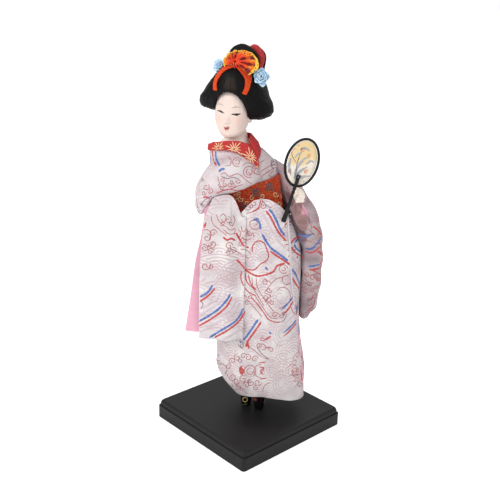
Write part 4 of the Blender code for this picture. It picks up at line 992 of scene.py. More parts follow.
RED_CURLS = small_curls(
    (206, 187, 3.6, 60), (210.5, 190.5, 3, 200), (204, 193, 2.4, 0), (225, 184.5, 2.5, 90),
    (229.5, 184.8, 2.6, 30), (234, 185.6, 2.5, 90), (221.5, 187.5, 2.2, 0), (238.5, 181, 2.8, 140),
    (223, 180, 2.4, 250), (213, 233, 4.0, 0), (207, 238, 4.2, 90), (212.5, 244, 4.4, 180),
    (204.5, 248, 3.6, 60), (210.5, 251.5, 3.6, 0), (205.5, 266, 4.8, 30), (211, 266.5, 2.6, 200),
    (228, 220, 3.6, 90), (222.5, 224.5, 2.8, 0), (231, 223.5, 2.4, 0), (229, 246, 4.2, 0),
    (233.5, 250.5, 3.4, 120), (227.5, 252.5, 2.8, 240), (254.5, 223.5, 6.4, -30), (244, 240.5, 3.6, 90),
    (249, 233, 3.2, 0), (240, 243.5, 2.5, 200), (263, 206, 3.0, 40), (254, 203.5, 3.4, 90),
    (248, 207.5, 3.0, 10), (265.5, 282, 3.2, 90), (269, 290, 3.0, 0), (266.5, 298, 3.0, 90),
    (271.5, 303, 2.8, 180), (275, 315, 3.4, 0), (281, 316, 2.8, 90), (247, 303, 2.8, 0),
    (249.5, 297, 2.2, 90), (237.4, 357.5, 3.8, 90), (232.5, 361, 3.4, 200), (243.5, 356, 3.2, 0),
    (247.9, 357.5, 3.4, 120), (254.9, 359, 3.6, 0), (228, 366, 3.4, 90), (232.5, 377, 4.0, 200),
    (236.5, 381, 3.4, 0), (243.2, 379.5, 4.2, 60), (246.5, 385, 3.4, 180), (251.4, 383, 3.8, 90),
    (257.7, 382.5, 3.8, 0), (239, 387, 3.4, 90), (231.5, 385, 2.6, 0), (256, 388, 2.8, 90),
    (295, 370, 4.0, 30), (310, 303, 3.6, 40), (314, 296, 3.0, 100), (313, 277.5, 3.6, 0),
    (306, 275, 3.0, 90), (318, 280, 2.6, 0), (309, 283.5, 3.0, 20), (303.5, 285, 2.8, 200),
    (311.5, 290, 2.6, 90), (305.5, 291.5, 2.8, 0), (300, 282, 2.6, 80), (312, 309.5, 2.4, 0),
    (307, 313, 2.6, 90), (302, 315, 2.4, 200), (316, 287, 2.4, 30), (299.5, 288.5, 2.4, 0),
    (259, 345, 3.0, 0), (263, 339, 2.6, 90), (271, 350, 2.8, 180))
DARK_LINES = [
    line(221, 176, 227, 178.5, 233, 177.5, 239, 179), line(218, 184, 221.5, 189.5, 228, 190),
    line(246.5, 199.5, 244, 205, 246, 211), line(262, 200, 267, 206, 272, 208),
    line(271, 152, 275, 158, 277, 165, 276, 172), line(262, 149, 268, 154, 273, 160),
    line(274, 160, 271, 165, 274, 170), line(212, 196, 206, 199, 200.5, 205),
    line(288, 211, 297, 222, 308, 229, 315, 236), line(286, 215, 292, 224, 300, 231, 309, 235),
    line(318, 240, 321, 247, 320.5, 256), line(300, 278, 306, 283, 312, 286),
    line(269, 359.3, 262, 354, 257, 347), line(222, 363, 227, 369, 225, 374),
    line(237.5, 343, 240, 347, 244, 349), line(287, 314, 284, 320, 281, 322),
    line(226, 373, 231, 380, 237, 386, 245, 390), line(302, 370, 303.5, 380, 302.5, 388),
    line(300.5, 352, 303, 360, 302, 366), line(199, 300, 203, 304, 200.5, 309)]
DARK_CURLS = small_curls(
    (232, 182, 2.4, 0), (273.5, 163, 3.2, 90), (251, 206.5, 2.2, 90), (229.5, 250, 2.4, 0),
    (219, 362, 2.6, 0), (240.5, 360.5, 2.6, 90), (249, 381, 2.2, 0), (300.5, 384, 3.2, 90),
    (315.5, 275, 2.6, 0), (309, 300, 2.2, 0), (241.5, 345.5, 2.4, 90), (284, 314, 2.4, 0))
RED_STRIPES = [
    line(212.3, 150.5, 213.4, 159.5, 216.4, 165.7),
    line(266, 211, 270.5, 217, 275, 226, 279, 233, 286, 241),
    line(270, 251, 277, 256, 287, 262.5, 290, 265), line(290, 245, 294, 239.5, 300, 236),
    line(290, 245, 295, 252, 304, 258.5), line(284.5, 225, 288.5, 221.5),
    line(291, 275, 294, 281, 300, 290), line(215, 288, 209, 295, 200, 301.5),
    line(232, 297, 226, 307, 214, 317, 199, 326), line(245, 311, 239, 321, 228, 330, 214.5, 337.5),
    line(261, 322, 255, 331, 248, 341, 246, 347), line(223, 237, 227, 240, 231, 238.5, 235.5, 240.5),
    line(236, 233, 240, 240, 244, 246, 249, 247.5),
    line(236.5, 259.5, 241, 264, 246, 270, 253, 274.5, 259, 276, 268, 274, 274, 271, 277, 266, 285, 263),
    line(203, 197.6, 206, 197, 210, 198.5), line(206, 222, 204, 228), line(247, 340, 249, 349),
    line(305, 251.5, 312.8, 252.3, 321.4, 246), line(309, 270, 314, 269.5, 320, 268),
    line(240, 367, 243.5, 371, 241, 375), line(265, 340, 271, 336), line(256.8, 182, 256.8, 186.5),
    arc(244.5, 370, 4.6, 120, 250), line(287, 225, 291, 221), line(301.5, 373, 302, 381)]
BLUE_STRIPES = [
    line(215.5, 150.5, 216.2, 158.6, 219.8, 166), line(269, 209, 273, 214, 277, 222, 280, 229, 285, 236),
    line(262, 234, 266, 241, 271, 248, 279, 254, 288, 261), line(294, 243, 298, 239.5, 301.5, 238.6),
    line(294, 244, 297, 249, 303, 253.5), line(285, 228, 291, 224.7), line(291, 268, 296, 275, 300, 286),
    line(212.5, 285, 208, 292, 200, 297), line(230.5, 293.5, 226, 301, 216, 311, 199, 321.5),
    line(243.5, 308, 239, 317, 233, 323, 220, 331, 209.5, 337.5),
    line(258, 319.5, 253, 327, 246, 337, 240, 343), line(265, 267, 268, 270),
    line(219, 172, 221, 169.5, 224.8, 168.8), line(253, 220, 257, 219.2, 259.8, 224, 260.2, 229.5),
    line(297, 234, 305, 236.5, 312, 234), line(305, 248.8, 312.8, 248, 321.4, 238),
    line(308, 266.3, 313, 266, 319.5, 264.5), line(240.5, 341.5, 243.5, 342.5), line(269, 332, 271.5, 334),
    line(276, 167, 279, 174), line(294, 303, 296, 306, 295.5, 310), line(300.5, 340, 302, 348),
    line(218, 353, 219, 357)]
SMOKE_BANDS = [
    line(262, 213, 267, 222, 272, 232, 279, 242, 286, 249), line(258, 226, 263, 232, 270, 240),
    line(275, 205, 282, 214, 287, 222), line(289, 252, 295, 262, 302, 270),
    line(222, 289, 215, 300, 200, 309), line(226, 292, 219, 303, 200, 315),
    line(239, 303, 232, 314, 216, 323, 200, 332), line(236, 300, 229, 310, 212, 320),
    line(252, 314, 246, 325, 233, 334, 222, 340), line(206, 277, 201, 282), line(217, 281, 208, 289)]
TONE_ARCS = [arc(233, 268, radius, -100, 110) for radius in (5, 8, 11, 14, 17)]
TONE_ARCS += [arc(214, 274, radius, -60, 150) for radius in (4, 7, 10, 13)]
TONE_ARCS += [arc(224, 284, radius, -20, 150) for radius in (4, 7, 10, 13)]
TONE_ARCS += [arc(280, 297, radius, 60, 300) for radius in (4, 7, 10)]
TONE_ARCS += [arc(258, 252, radius, 90, 300) for radius in (3, 5.5, 8)]
TONE_ARCS += [arc(x, y, radius, 60, 300, 1.5)
              for x, y in ((281, 334), (284, 352), (281, 383), (291, 370), (272, 369))
              for radius in (3, 5.5, 8)]
TONE_ARCS += [arc(x, y, radius, 200, 340) for x, y in ((244, 326), (259, 333)) for radius in (3, 6)]

CHRYSANTHEMUMS = [(218.6, 147.6, 7.0, 11), (234.2, 149.2, 9.5, 13), (250.7, 157.2, 10.5, 13),
                  (204, 147, 6, 10), (258.5, 168.5, 5, 12)]


def rays(flowers):
    """Pointed rays round each flower's centre, every other one shorter."""
    found = []
    for x, y, reach, count in flowers:
        for k in range(count):
            turn = 2 * math.pi * (k + 0.3) / count
            near, far = 0.9, reach * (1.0 if k % 2 else 0.72)
            steps = (near, (near + far) / 2, far)
            found.append(np.array([(x + d * math.cos(turn), y + d * math.sin(turn)) for d in steps]))
    return found


# Geometry Nodes trees for what repeats

def start_tree(name, inputs):
    """A Geometry Nodes tree with named inputs, as its graph, its inputs and its outputs."""
    tree = bpy.data.node_groups.new(name, "GeometryNodeTree")
    tree.is_modifier = True
    geometry = {"Geometry": ("Geometry", None)}
    return open_tree(tree, {**geometry, **inputs, "Material": ("Material", None)}, geometry)


def end_tree(graph, given, out, instances):
    """Closes a tree with Realize Instances and Set Material."""
    real = graph.node("GeometryNodeRealizeInstances", {"Geometry": instances})
    painted = graph.node("GeometryNodeSetMaterial", {
        "Geometry": real.outputs[0], "Material": given["Material"]})
    graph.feed(out[0], painted.outputs[0])


def run_tree(name, base, tree_name, values):
    """Runs a tree on a base mesh with named values, and returns the result as a plain piece."""
    holder = add_piece(name + "_guide", base)
    tree = bpy.data.node_groups[tree_name]
    change = holder.modifiers.new("repeat", "NODES")
    change.node_group = tree
    for item in tree.interface.items_tree:
        if item.item_type == "SOCKET" and item.in_out == "INPUT" and item.name in values:
            change[item.identifier] = values[item.name]
    graph = bpy.context.evaluated_depsgraph_get()
    mesh = bpy.data.meshes.new_from_object(holder.evaluated_get(graph))
    holder.modifiers.remove(change)
    bpy.data.objects.remove(holder)
    mesh.shade_smooth()
    return add_piece(name, mesh)


def build_rose_tree():
    """Petals round a centre, tight and upright inside, wide and open outside."""
    graph, given, out = start_tree("Cloth rose", {
        "Petal": ("Object", None), "Petals": ("Int", 16), "Radius": ("Float", 5 * MM), "Seed": ("Int", 1)})
    index = graph.node("GeometryNodeInputIndex").outputs[0]
    share = graph.math("DIVIDE", index, given["Petals"])
    golden = math.radians(137.5)
    turn = graph.times(index, golden)
    spread = graph.times(given["Radius"], graph.math("MULTIPLY_ADD", share, 0.36, 0.02))
    drop = graph.times(given["Radius"], graph.math("MULTIPLY_ADD", share, -0.5, 0.06))
    place = graph.node("ShaderNodeCombineXYZ", {
        0: graph.times(graph.math("COSINE", turn), spread),
        1: graph.times(graph.math("SINE", turn), spread), 2: drop})
    points = graph.node("GeometryNodePoints", {"Count": given["Petals"], "Position": place.outputs[0]})
    chance = graph.node("FunctionNodeRandomValue", {2: -0.14, 3: 0.14, "Seed": given["Seed"]})
    lean = graph.plus(graph.math("MULTIPLY_ADD", share, -0.95, 0.16), chance.outputs[1])
    spin = graph.math("SUBTRACT", turn, math.pi / 2)
    euler = graph.node("ShaderNodeCombineXYZ", {0: lean, 1: chance.outputs[1], 2: spin})
    size = graph.times(given["Radius"], graph.math("MULTIPLY_ADD", share, 0.42, 0.5))
    petal = graph.node("GeometryNodeObjectInfo", {"Object": given["Petal"]})
    placed = graph.node("GeometryNodeInstanceOnPoints", {
        "Points": points.outputs[0], "Instance": petal.outputs["Geometry"],
        "Rotation": euler.outputs[0], "Scale": size})
    end_tree(graph, given, out, placed.outputs[0])


def build_dot_tree():
    """Small dots scattered over a surface and turned to lie on it."""
    graph, given, out = start_tree("Scattered dots", {
        "Dot": ("Object", None), "Spacing": ("Float", MM), "Size": ("Float", MM), "Seed": ("Int", 1)})
    points = graph.node("GeometryNodeDistributePointsOnFaces", {
        "Mesh": given["Geometry"], "Distance Min": given["Spacing"], "Density Max": 4e6,
        "Seed": given["Seed"]}, distribute_method="POISSON")
    chance = graph.node("FunctionNodeRandomValue", {2: 0.6, 3: 1.2, "Seed": given["Seed"]})
    size = graph.times(given["Size"], chance.outputs[1])
    dot = graph.node("GeometryNodeObjectInfo", {"Object": given["Dot"]})
    placed = graph.node("GeometryNodeInstanceOnPoints", {
        "Points": points.outputs["Points"], "Instance": dot.outputs["Geometry"],
        "Rotation": points.outputs["Rotation"], "Scale": size})
    end_tree(graph, given, out, placed.outputs[0])


def petal_shape():
    """One unit petal: a cupped cloth with a rolled lip, standing up from its foot."""
    solid = bmesh.new()
    columns, rows = 6, 5
    grid = []
    for j in range(rows + 1):
        rise = j / rows
        row = []
        for i in range(columns + 1):
            side = 2 * i / columns - 1
            width = 0.62 * math.sin(math.pi * (0.14 + 0.66 * rise))
            cup = 0.34 * (1 - side * side) - 0.1
            lip = max(0.0, rise - 0.6) ** 2
            row.append(solid.verts.new((side * width, cup + lip, rise * (0.95 - 0.12 * side * side))))
        grid.append(row)
    for j in range(rows):
        for i in range(columns):
            solid.faces.new((grid[j][i], grid[j][i + 1], grid[j + 1][i + 1], grid[j + 1][i]))
    petal = piece_of("petal_guide", solid)
    thickened(petal, 0.06)
    petal.hide_render = True
    return petal


# Pieces

def remember(piece):
    """Keeps a cloth piece for the print to be laid on."""
    CLOTHES[piece.name] = piece
    return piece


def declare_sheet(piece):
    """Works out half of a sheet's surface area, rounded; the value is not used."""
    area = round(half_area(piece), 6)


def fold_field(points, depth, count, phase, low, high, seed):
    """Upright folds round the body that fade above and below, as radial moves in millimetres."""
    angle = angle_round_body(points)
    drift = waves(points, 60, seed) * 0.5
    fade = smoothstep(points[:, 2], low - 12, low) * (1 - smoothstep(points[:, 2], high, high + 14))
    return depth * fade * np.sin(count * angle + phase + drift)


def hem_waves(points):
    """Points of the skirt whose hem rises and falls as it hangs, highest a little left of the front."""
    x, y, z = points.T
    near = 1 - smoothstep(z, 14, 34)
    front = smoothstep(-y, 4, 14)
    rise = 2.0 * bump(x - 10, 9) + 1.0 * bump(x - 26, 7) - 0.4 * bump(x - 38, 5)
    moved = points.copy()
    moved[:, 2] += near * (front * rise + 0.5 * np.sin(3.1 * angle_round_body(points)))
    low_left = 2.6 * bump(z - 32, 13) - 1.4 * bump(z - 58, 14)
    moved[:, 0] -= low_left * smoothstep(-x, -6, 6)
    return moved


def make_skirt():
    """The wrapped skirt with soft folds at its back, and the puffed front panel."""
    skirt = refined("skirt_cloth", "skirt", 3)
    points = read_points(skirt)
    back = smoothstep(points[:, 1], 0, 14)
    move = back * fold_field(points, 0.7, 11, 0.4, 20, 150, 3) + 0.25 * back * waves(points, 16, 4)
    mark_painted_shade(skirt, move + 0.3, 0.8)
    points = points + outward(points) * move[:, None]
    write_points(skirt, hem_waves(points))
    dress(wrap_uv(skirt), "satin", "kimono", "skirt")
    panel = refined("skirt_front_cloth", "skirt_front_panel", 3)
    points = read_points(panel)
    room = smoothstep(points[:, 2], 16, 40)
    move = room * (0.45 * waves(points, 34, 11) + 0.2 * waves(points, 13, 12))
    seat = smoothstep(points[:, 2], 66, 80)
    move = np.maximum(move, -0.35) + seat * 0.2
    mark_painted_shade(panel, move + 0.3, 0.8)
    points = points + outward(points) * move[:, None]
    write_points(panel, hem_waves(points))
    dress(wrap_uv(panel), "satin", "kimono", "skirt_front_panel")
    piping = refined("skirt_piping_cord", "skirt_piping", 2, crease=0.2)
    write_points(piping, hem_waves(read_points(piping)))
    dress(wrap_uv(piping), "piping", "pink_lining", "skirt_piping")
    declare_sheet(skirt)
    declare_sheet(panel)
    remember(skirt)
    remember(panel)


def make_upper():
    """The kimono above the waist, in one cloth with the sleeve that crosses the belly."""
    upper = joined("kimono_upper", ("bodice", "sleeve_right"))
    solid = opened(upper)
    place = Matrix.Translation(Vector((-9, -1, 205)) * MM)
    yoke = place @ Matrix.Diagonal((25.2 * MM, 13.2 * MM, 8.8 * MM, 1))
    bmesh.ops.create_icosphere(solid, subdivisions=4, radius=1, matrix=DOLL @ yoke)
    closed(solid, upper)
    remeshed(upper, 0.7, 2)
    remeshed(swell(upper, 2.4), 0.8, 4)
    remeshed(swell(upper, -2.4), 0.62, 6)
    points = read_points(upper)
    normals = read_normals(upper)
    x, y, z = points.T
    front = smoothstep(-y, 10, 16)
    creases = 0.5 * np.sin((z - 0.35 * x) * 0.42 + waves(points, 40, 21))
    move = front * creases * 0.5 + 0.22 * waves(points, 14, 22)
    elbow = bump(x + 41, 7) * front
    move += elbow * 0.6 * np.sin(z * 0.7 + x * 0.3)
    mark_painted_shade(upper, move + 0.35, 0.7)
    write_points(upper, points + normals * move[:, None])
    dress(wrap_uv(upper), "satin_upper", "kimono", "bodice", "sleeve_right")
    remember(upper)


def seat_bag(bag, panel):
    """Lays the hanging sleeve's inner edge on the skirt's front panel and thins it there."""
    points = read_points(bag)
    sheet, below = surface_of(bag), surface_of(panel)
    inward = DOLL.to_3x3() @ Vector((0, 1, 0))
    back = DOLL.inverted()
    for i in np.flatnonzero(points[:, 0] > -22):
        u, v, height = points[i]
        front = sheet.ray_cast(doll(u, -50, height), inward)[0]
        rear = sheet.ray_cast(doll(u, -20, height), -inward)[0]
        seat = below.ray_cast(doll(u, -50, min(height, 166)), inward)[0]
        if not (front and rear and seat):
            continue
        front, rear, seat = ((back @ place).y / MM for place in (front, rear, seat))
        middle = (front + rear) / 2
        share = smoothstep(u, -21, -7) * (1 - 0.8 * smoothstep(height, 166, 184))
        flat = (seat - 0.55) + 0.4 * (v - middle)
        points[i, 1] = (1 - share) * v + share * min(flat, v + 3.5)
    write_points(bag, points)


def make_bag():
    """The long hanging part of the right sleeve, and its pink back layer."""
    bag = joined("sleeve_bag_cloth", ("sleeve_right_bag",))
    remeshed(bag, 0.42, 5)
    points = read_points(bag)
    move = np.zeros_like(points)
    free = smoothstep(-points[:, 2], -170, -150)
    move[:, 1] = -(0.35 + 0.3 * waves(points, 26, 31) + 0.5 * np.sin(points[:, 0] * 0.33 + 0.5)) * free
    mark_painted_shade(bag, 0.3 - move[:, 1], 1.2)
    write_points(bag, points + move)
    seat_bag(bag, CLOTHES["skirt_front_cloth"])
    dress(wrap_uv(bag), "satin", "kimono", "sleeve_right_bag")
    lining = joined("sleeve_bag_lining", ("sleeve_right_lining",))
    remeshed(lining, 0.34, 4)
    points = read_points(lining)
    move = np.zeros_like(points)
    ripple = np.sin(points[:, 0] * 0.4 + points[:, 2] * 0.03)
    move[:, 1] = 0.3 * ripple * smoothstep(-points[:, 2], -160, -140)
    move[:, 0] = -1.6 * smoothstep(-points[:, 2], -135, -75)
    write_points(lining, points + move)
    dress(wrap_uv(lining), "lining", "pink_lining", "sleeve_right_lining")
    declare_sheet(bag)
    declare_sheet(lining)
    remember(bag)


def make_left_sleeve():
    """The sleeve beside the skirt in the darker satin of painted shade, with slack folds below its open cuff,
    and the cuff's lining, painted as shadow with pink at its outer top.
    """
    sleeve = joined("sleeve_left_cloth", ("sleeve_left",))
    solid = opened(sleeve)
    for start, end in zip(SHOULDER_PATH[:-1], SHOULDER_PATH[1:]):
        capsule(solid, start, end, 5.2)
    capsule(solid, (24.6, 8.5, 193), (24.8, 8.5, 168), 4.7)
    closed(solid, sleeve)
    remeshed(sleeve, 0.55, 8)
    points = read_points(sleeve)
    normals = read_normals(sleeve)
    x, _, z = points.T
    lower = 1 - smoothstep(z, 150, 172)
    slack = np.sin(z * 0.3 + x * 0.35 + waves(points, 45, 41))
    sweep = np.sin((z + 1.1 * x) * 0.38)
    near = bump(z - 166, 16)
    inner = np.maximum(0, 34 - x)
    move = lower * slack * 0.7 + near * sweep * 0.9 + 0.2 * waves(points, 12, 42)
    move *= 1 - smoothstep(inner, 0, 6) * 0.9
    write_points(sleeve, points + normals * move[:, None])
    remeshed(sleeve, 0.6, 3)
    points = read_points(sleeve)
    x, _, z = points.T
    # Painted shade and light: shade along the inner side beside the skirt and in the valleys of the sweeping
    # folds, and none on the top, which so reads lighter.
    inside = 1 - smoothstep(x, 36.5, 45)
    sweep = np.sin((z + 1.1 * x) * 0.38) * bump(z - 170, 22)
    top = smoothstep(z, 174, 190)
    mark_painted_shade(sleeve, 0.9 * (0.6 + sweep - 1.6 * inside) + 1.6 * top, 1.0)
    dress(wrap_uv(sleeve), "satin_shaded", "kimono", "sleeve_left")
    remember(sleeve)
    tree = surface_of(sleeve)
    cup = bmesh.new()
    bmesh.ops.create_icosphere(cup, subdivisions=5, radius=1)
    place = Matrix.Translation(Vector((34.6, -17.0, 168.5)) * MM) @ Matrix.Rotation(math.radians(-18), 4, "Y")
    cup.transform(DOLL @ place @ Matrix.Diagonal((6.0 * MM, 10.0 * MM, 13.0 * MM, 1)))
    outside = []
    for face in cup.faces:
        centre = face.calc_center_median()
        found, normal, _, distance = tree.find_nearest(centre)
        inside = normal.dot(centre - found) < 0 or distance < 0.9 * MM
        if not inside:
            outside.append(face)
    bmesh.ops.delete(cup, geom=outside, context="FACES")
    bmesh.ops.reverse_faces(cup, faces=cup.faces[:])
    if len(cup.faces) < 40:
        raise RuntimeError("the cuff's lining is lost")
    for vert in cup.verts:
        found, normal, _, _ = tree.find_nearest(vert.co)
        vert.co = found + normal * 0.15 * MM
    pocket = piece_of("cuff_lining", cup)
    thickened(pocket, 0.3 * MM, 1)
    # The lining inside the cuff's opening is painted as shadow; only the faces at its outer top are pink.
    dress(wrap_uv(pocket), "cuff_painted_shadow", "pink_lining")
    pocket.data.materials.append(MATERIALS["lining"])
    for face in pocket.data.polygons:
        middle = DOLL.inverted() @ face.center
        if middle.x > 36.4 * MM and middle.z > 168 * MM:
            face.material_index = 1
    declare_sheet(pocket)


def make_collars():
    """Two collar bands with rolled edges."""
    for name, node, finish, slot in (("collar_front_band", "collar_front", "collar", "red_brocade"),
                                     ("collar_nape_band", "collar_nape", "nape", "red_cloth")):
        band = refined(name, node, 3, crease=0.35)
        points = read_points(band)
        swollen = points + read_normals(band) * (0.12 + 0.1 * waves(points, 9, 51))[:, None]
        x, y, z = points.T
        if node == "collar_front":
            swollen[:, 2] += 1.3 * (1 - smoothstep(x, -12, -2))
            corner = smoothstep(-x, 30, 35.5) * smoothstep(z, 211, 219)
            swollen[:, 2] -= 2.6 * corner
        else:
            low = smoothstep(-z, -223, -212) * smoothstep(x, -12, -4) * (y < 4)
            swollen += low[:, None] * np.array([-3.0, -1.6, 0.0])
            hem = (1 - smoothstep(z, 209, 219)) * smoothstep(y, -6, 2)
            swollen[:, 2] -= 3.2 * hem
        write_points(band, swollen)
        dress(wrap_uv(band), finish, slot, node)
        declare_sheet(band)


def make_obi():
    """The waist sash and its padded bow."""
    obi = refined("obi_sash", "obi", 3, crease=0.3)
    points = read_points(obi)
    pleats = 0.22 * np.sin(points[:, 2] * 0.9 + 0.12 * points[:, 0]) + 0.15 * waves(points, 18, 61)
    write_points(obi, points + outward(points) * pleats[:, None])
    dress(wrap_uv(obi), "obi", "obi_red", "obi")
    declare_sheet(obi)
    bow = refined("obi_bow_pad", "obi_bow", 4, crease=0.15)
    points = read_points(bow)
    low, high = points.min(axis=0), points.max(axis=0)
    share = (points - low) / (high - low)
    tuck = bump(share[:, 2] - 0.55, 0.06)
    folds = 0.5 * np.sin(share[:, 0] * 17 + 2 * share[:, 2]) * share[:, 1]
    side_tuck = bump(share[:, 2] - 0.55, 0.25) * (share[:, 0] - 0.5) * -2.4
    points[:, 1] += (folds - 1.6 * tuck) * smoothstep(share[:, 1], 0.3, 0.8)
    points[:, 0] += side_tuck
    inner = 1 - smoothstep(share[:, 1], 0.0, 0.45)
    sash_back = 15.3 * np.sqrt(np.clip(1 - (points[:, 0] / 23.5) ** 2, 0, 1)) + 0.3
    points[:, 1] += inner * (sash_back - 15.5 - 2.4 * smoothstep(points[:, 2], 195, 199))
    points[:, 2] -= 5 * smoothstep(points[:, 0], 2, 15) * smoothstep(points[:, 2], 188, 205)
    write_points(bow, points)
    dress(wrap_uv(bow), "obi", "obi_red", "obi_bow")


def make_head():
    """The cast head: brow, nose, lids, lips, chin and ear, on a slender neck."""
    head = joined("head_cast", ("head",))
    solid = opened(head)
    ear = Matrix.Translation(Vector((12.6, -0.6, -4.0)) * MM) @ Euler((0.2, 0.15, -0.5)).to_matrix().to_4x4()
    bmesh.ops.create_icosphere(solid, subdivisions=3, radius=1,
                               matrix=HEAD @ ear @ Matrix.Diagonal((1.3 * MM, 2.4 * MM, 3.4 * MM, 1)))
    closed(solid, head)
    remeshed(head, 0.36, 14)
    points = read_points(head, HEAD)
    x, y, z = points.T
    front = smoothstep(-y, 4, 10)
    middle = 0.3
    move = np.zeros(len(points))
    move += 0.55 * bump(x - middle, 1.5) * smoothstep(z, -6, -4) * (1 - smoothstep(z, 0, 6))
    move += 0.7 * bump(np.hypot(x + 0.3, (z + 5.4) * 0.9), 1.5)
    for side in (-1.5, 1.5):
        move += 0.3 * bump(np.hypot(x - side, z + 6.2), 0.9)
    move -= 0.3 * bump(np.hypot(x - middle, (z + 8.2) * 0.8), 1.2)
    for centre, width in ((-5.6, 2.7), (6.0, 3.3)):
        move -= 0.55 * bump(np.hypot((x - centre) / 1.5, z - 1.6), 2.0)
        lid = bump((x - centre) / width, 1.0)
        move += 0.42 * lid * bump(z - 0.8, 0.9)
        move -= 0.16 * lid * bump(z - 2.2, 0.35)
        move += 0.2 * lid * bump(z + 1.4, 0.8)
    for centre in (-0.4, 1.9):
        move += 0.42 * bump(np.hypot((x - centre) / 1.1, z + 10.2), 0.75)
    move += 0.5 * bump(np.hypot((x - 0.8) / 1.3, z + 11.8), 0.8)
    move -= 0.35 * bump(np.hypot((x - 0.8) / 2.2, z + 11.0), 0.32)
    move -= 0.3 * bump(np.hypot((x - 0.9) / 1.6, z + 13.4), 1.0)
    move += 0.45 * bump(np.hypot(x - 1.2, z + 15.6), 2.6)
    for side in (-7.5, 8.5):
        move += 0.35 * bump(np.hypot(x - side, z + 6.5), 4.2)
    dent = bump(np.hypot((x - 13.4) / 0.9, np.hypot(y + 0.8, (z + 4.0) * 0.75)), 1.0)
    points = points + read_normals(head, HEAD) * (move * front - 0.6 * dent)[:, None]
    points[:, 0] -= 1.3 * smoothstep(-x, 5, 11) * bump(z + 4, 13)
    points[:, 0] += 1.7 * smoothstep(x, 2, 8) * smoothstep(-z, 7, 14) * (1 - smoothstep(-z, 26, 32))
    write_points(head, points, HEAD)
    dress(head, "skin", "skin", "head")
    ground = Ground([head], [])
    here = sight()

    def paint(name, finish, strokes):
        solid = bmesh.new()
        for points, half_width, taper in strokes:
            lay_motifs(solid, ground, [points], here, half_width, FACE_LIFT, taper, across=2)
        bmesh.ops.recalc_face_normals(solid, faces=solid.faces[:])
        dress(piece_of(name, solid), finish, "skin")

    paint("eyes_painted", "eye", [
        (line(217.4, 110.4, 219.6, 111.0, 221.9, 112.0, 224.0, 113.1), 0.62, 1.6),
        (line(217.2, 110.2, 220.5, 110.7, 224.6, 113.4), 0.2, 2.0),
        (line(231.4, 114.3, 234.0, 114.3, 236.6, 114.6, 240.2, 114.2), 0.66, 2.4),
        (line(234.8, 114.6, 236.6, 114.8, 238.4, 114.6), 0.8, 0.8),
        (line(230.9, 114.7, 235.0, 113.8, 241.2, 113.6), 0.2, 2.0)])
    paint("brows_painted", "brow", [
        (line(217.0, 104.2, 220.0, 104.0, 223.7, 105.6), 0.32, 2.5),
        (line(231.4, 108.0, 235.5, 107.0, 240.5, 107.2), 0.34, 2.5)])
    paint("lips_painted", "lip", [
        (line(223.7, 127.3, 225.1, 127.4, 226.7, 128.1), 0.5, 1.0),
        (line(226.3, 128.1, 227.8, 127.2, 229.6, 127.3), 0.5, 1.0),
        (line(224.0, 128.1, 226.6, 128.6, 229.3, 128.0), 0.62, 1.0),
        (line(226.6, 127.9, 226.6, 129.0, 226.7, 130.2), 0.6, 0.6),
        (line(225.4, 128.5, 226.8, 129.0, 228.2, 128.4), 0.9, 0.5),
        (line(224.9, 129.2, 226.7, 129.9, 228.5, 129.1), 0.66, 0.8)])


def round_knot(piece):
    """A piece's points in the head's frame, with their angles and distances from the knot at the crown."""
    points = read_points(piece, HEAD)
    x, z = points[:, 0] - HAIR_KNOT[0], HAIR_KNOT[1] - points[:, 2]
    return points, np.arctan2(x, z), np.hypot(x, z)


def hair_uv(piece):
    """UVs of hair combed from the knot at the crown: across the strands, then along them."""
    points, turn, reach = round_knot(piece)
    return set_uv(piece, turn, reach + 0.3 * points[:, 1])


def comb(piece, depth, seed):
    """Combed locks as shallow grooves that run from the knot at the crown."""
    points, turn, reach = round_knot(piece)
    near = smoothstep(reach, 3, 12)
    locks = np.sin(turn * 46 + waves(points, 30, seed))
    locks += 0.7 * np.sin(turn * 97 + waves(points, 22, seed + 1))
    write_points(piece, points + read_normals(piece, HEAD) * (depth * near * locks)[:, None], HEAD)


def angle_round_roll(points):
    """The angle of points round the middle of the topknot's rolls."""
    return np.arctan2(points[:, 0] - ROLL_MIDDLE[0], points[:, 2] - 28)


def squared(points):
    """Points of a topknot roll with their round top made squarer."""
    across, up = (points[:, 0] - ROLL_MIDDLE[0]) / 13.8, (points[:, 2] - ROLL_MIDDLE[1]) / 19.5
    turn = np.arctan2(up, across)
    corner = (np.abs(np.cos(turn)) ** 2.8 + np.abs(np.sin(turn)) ** 2.8) ** (-1 / 2.8)
    factor = 1 + (corner - 1) * smoothstep(up, -0.1, 0.3)
    squarer = points.copy()
    for axis, middle in zip((0, 2), ROLL_MIDDLE):
        squarer[:, axis] = middle + (points[:, axis] - middle) * factor
    return squarer


def leaned(points, rise, fall, wider=0.0):
    """Raises a topknot roll's top at its right, lowers it at its left, and tucks in its low right."""
    left = 1 - smoothstep(points[:, 0], -4, 6)
    points[:, 2] += (rise - fall * left) * np.maximum(points[:, 2] - 28, 0)
    points[:, 0] += wider * np.maximum(points[:, 0] - ROLL_MIDDLE[0], 0)
    points[:, 0] -= 3.0 * smoothstep(points[:, 0], 5, 12) * (1 - smoothstep(points[:, 2], 28, 42))
    return points


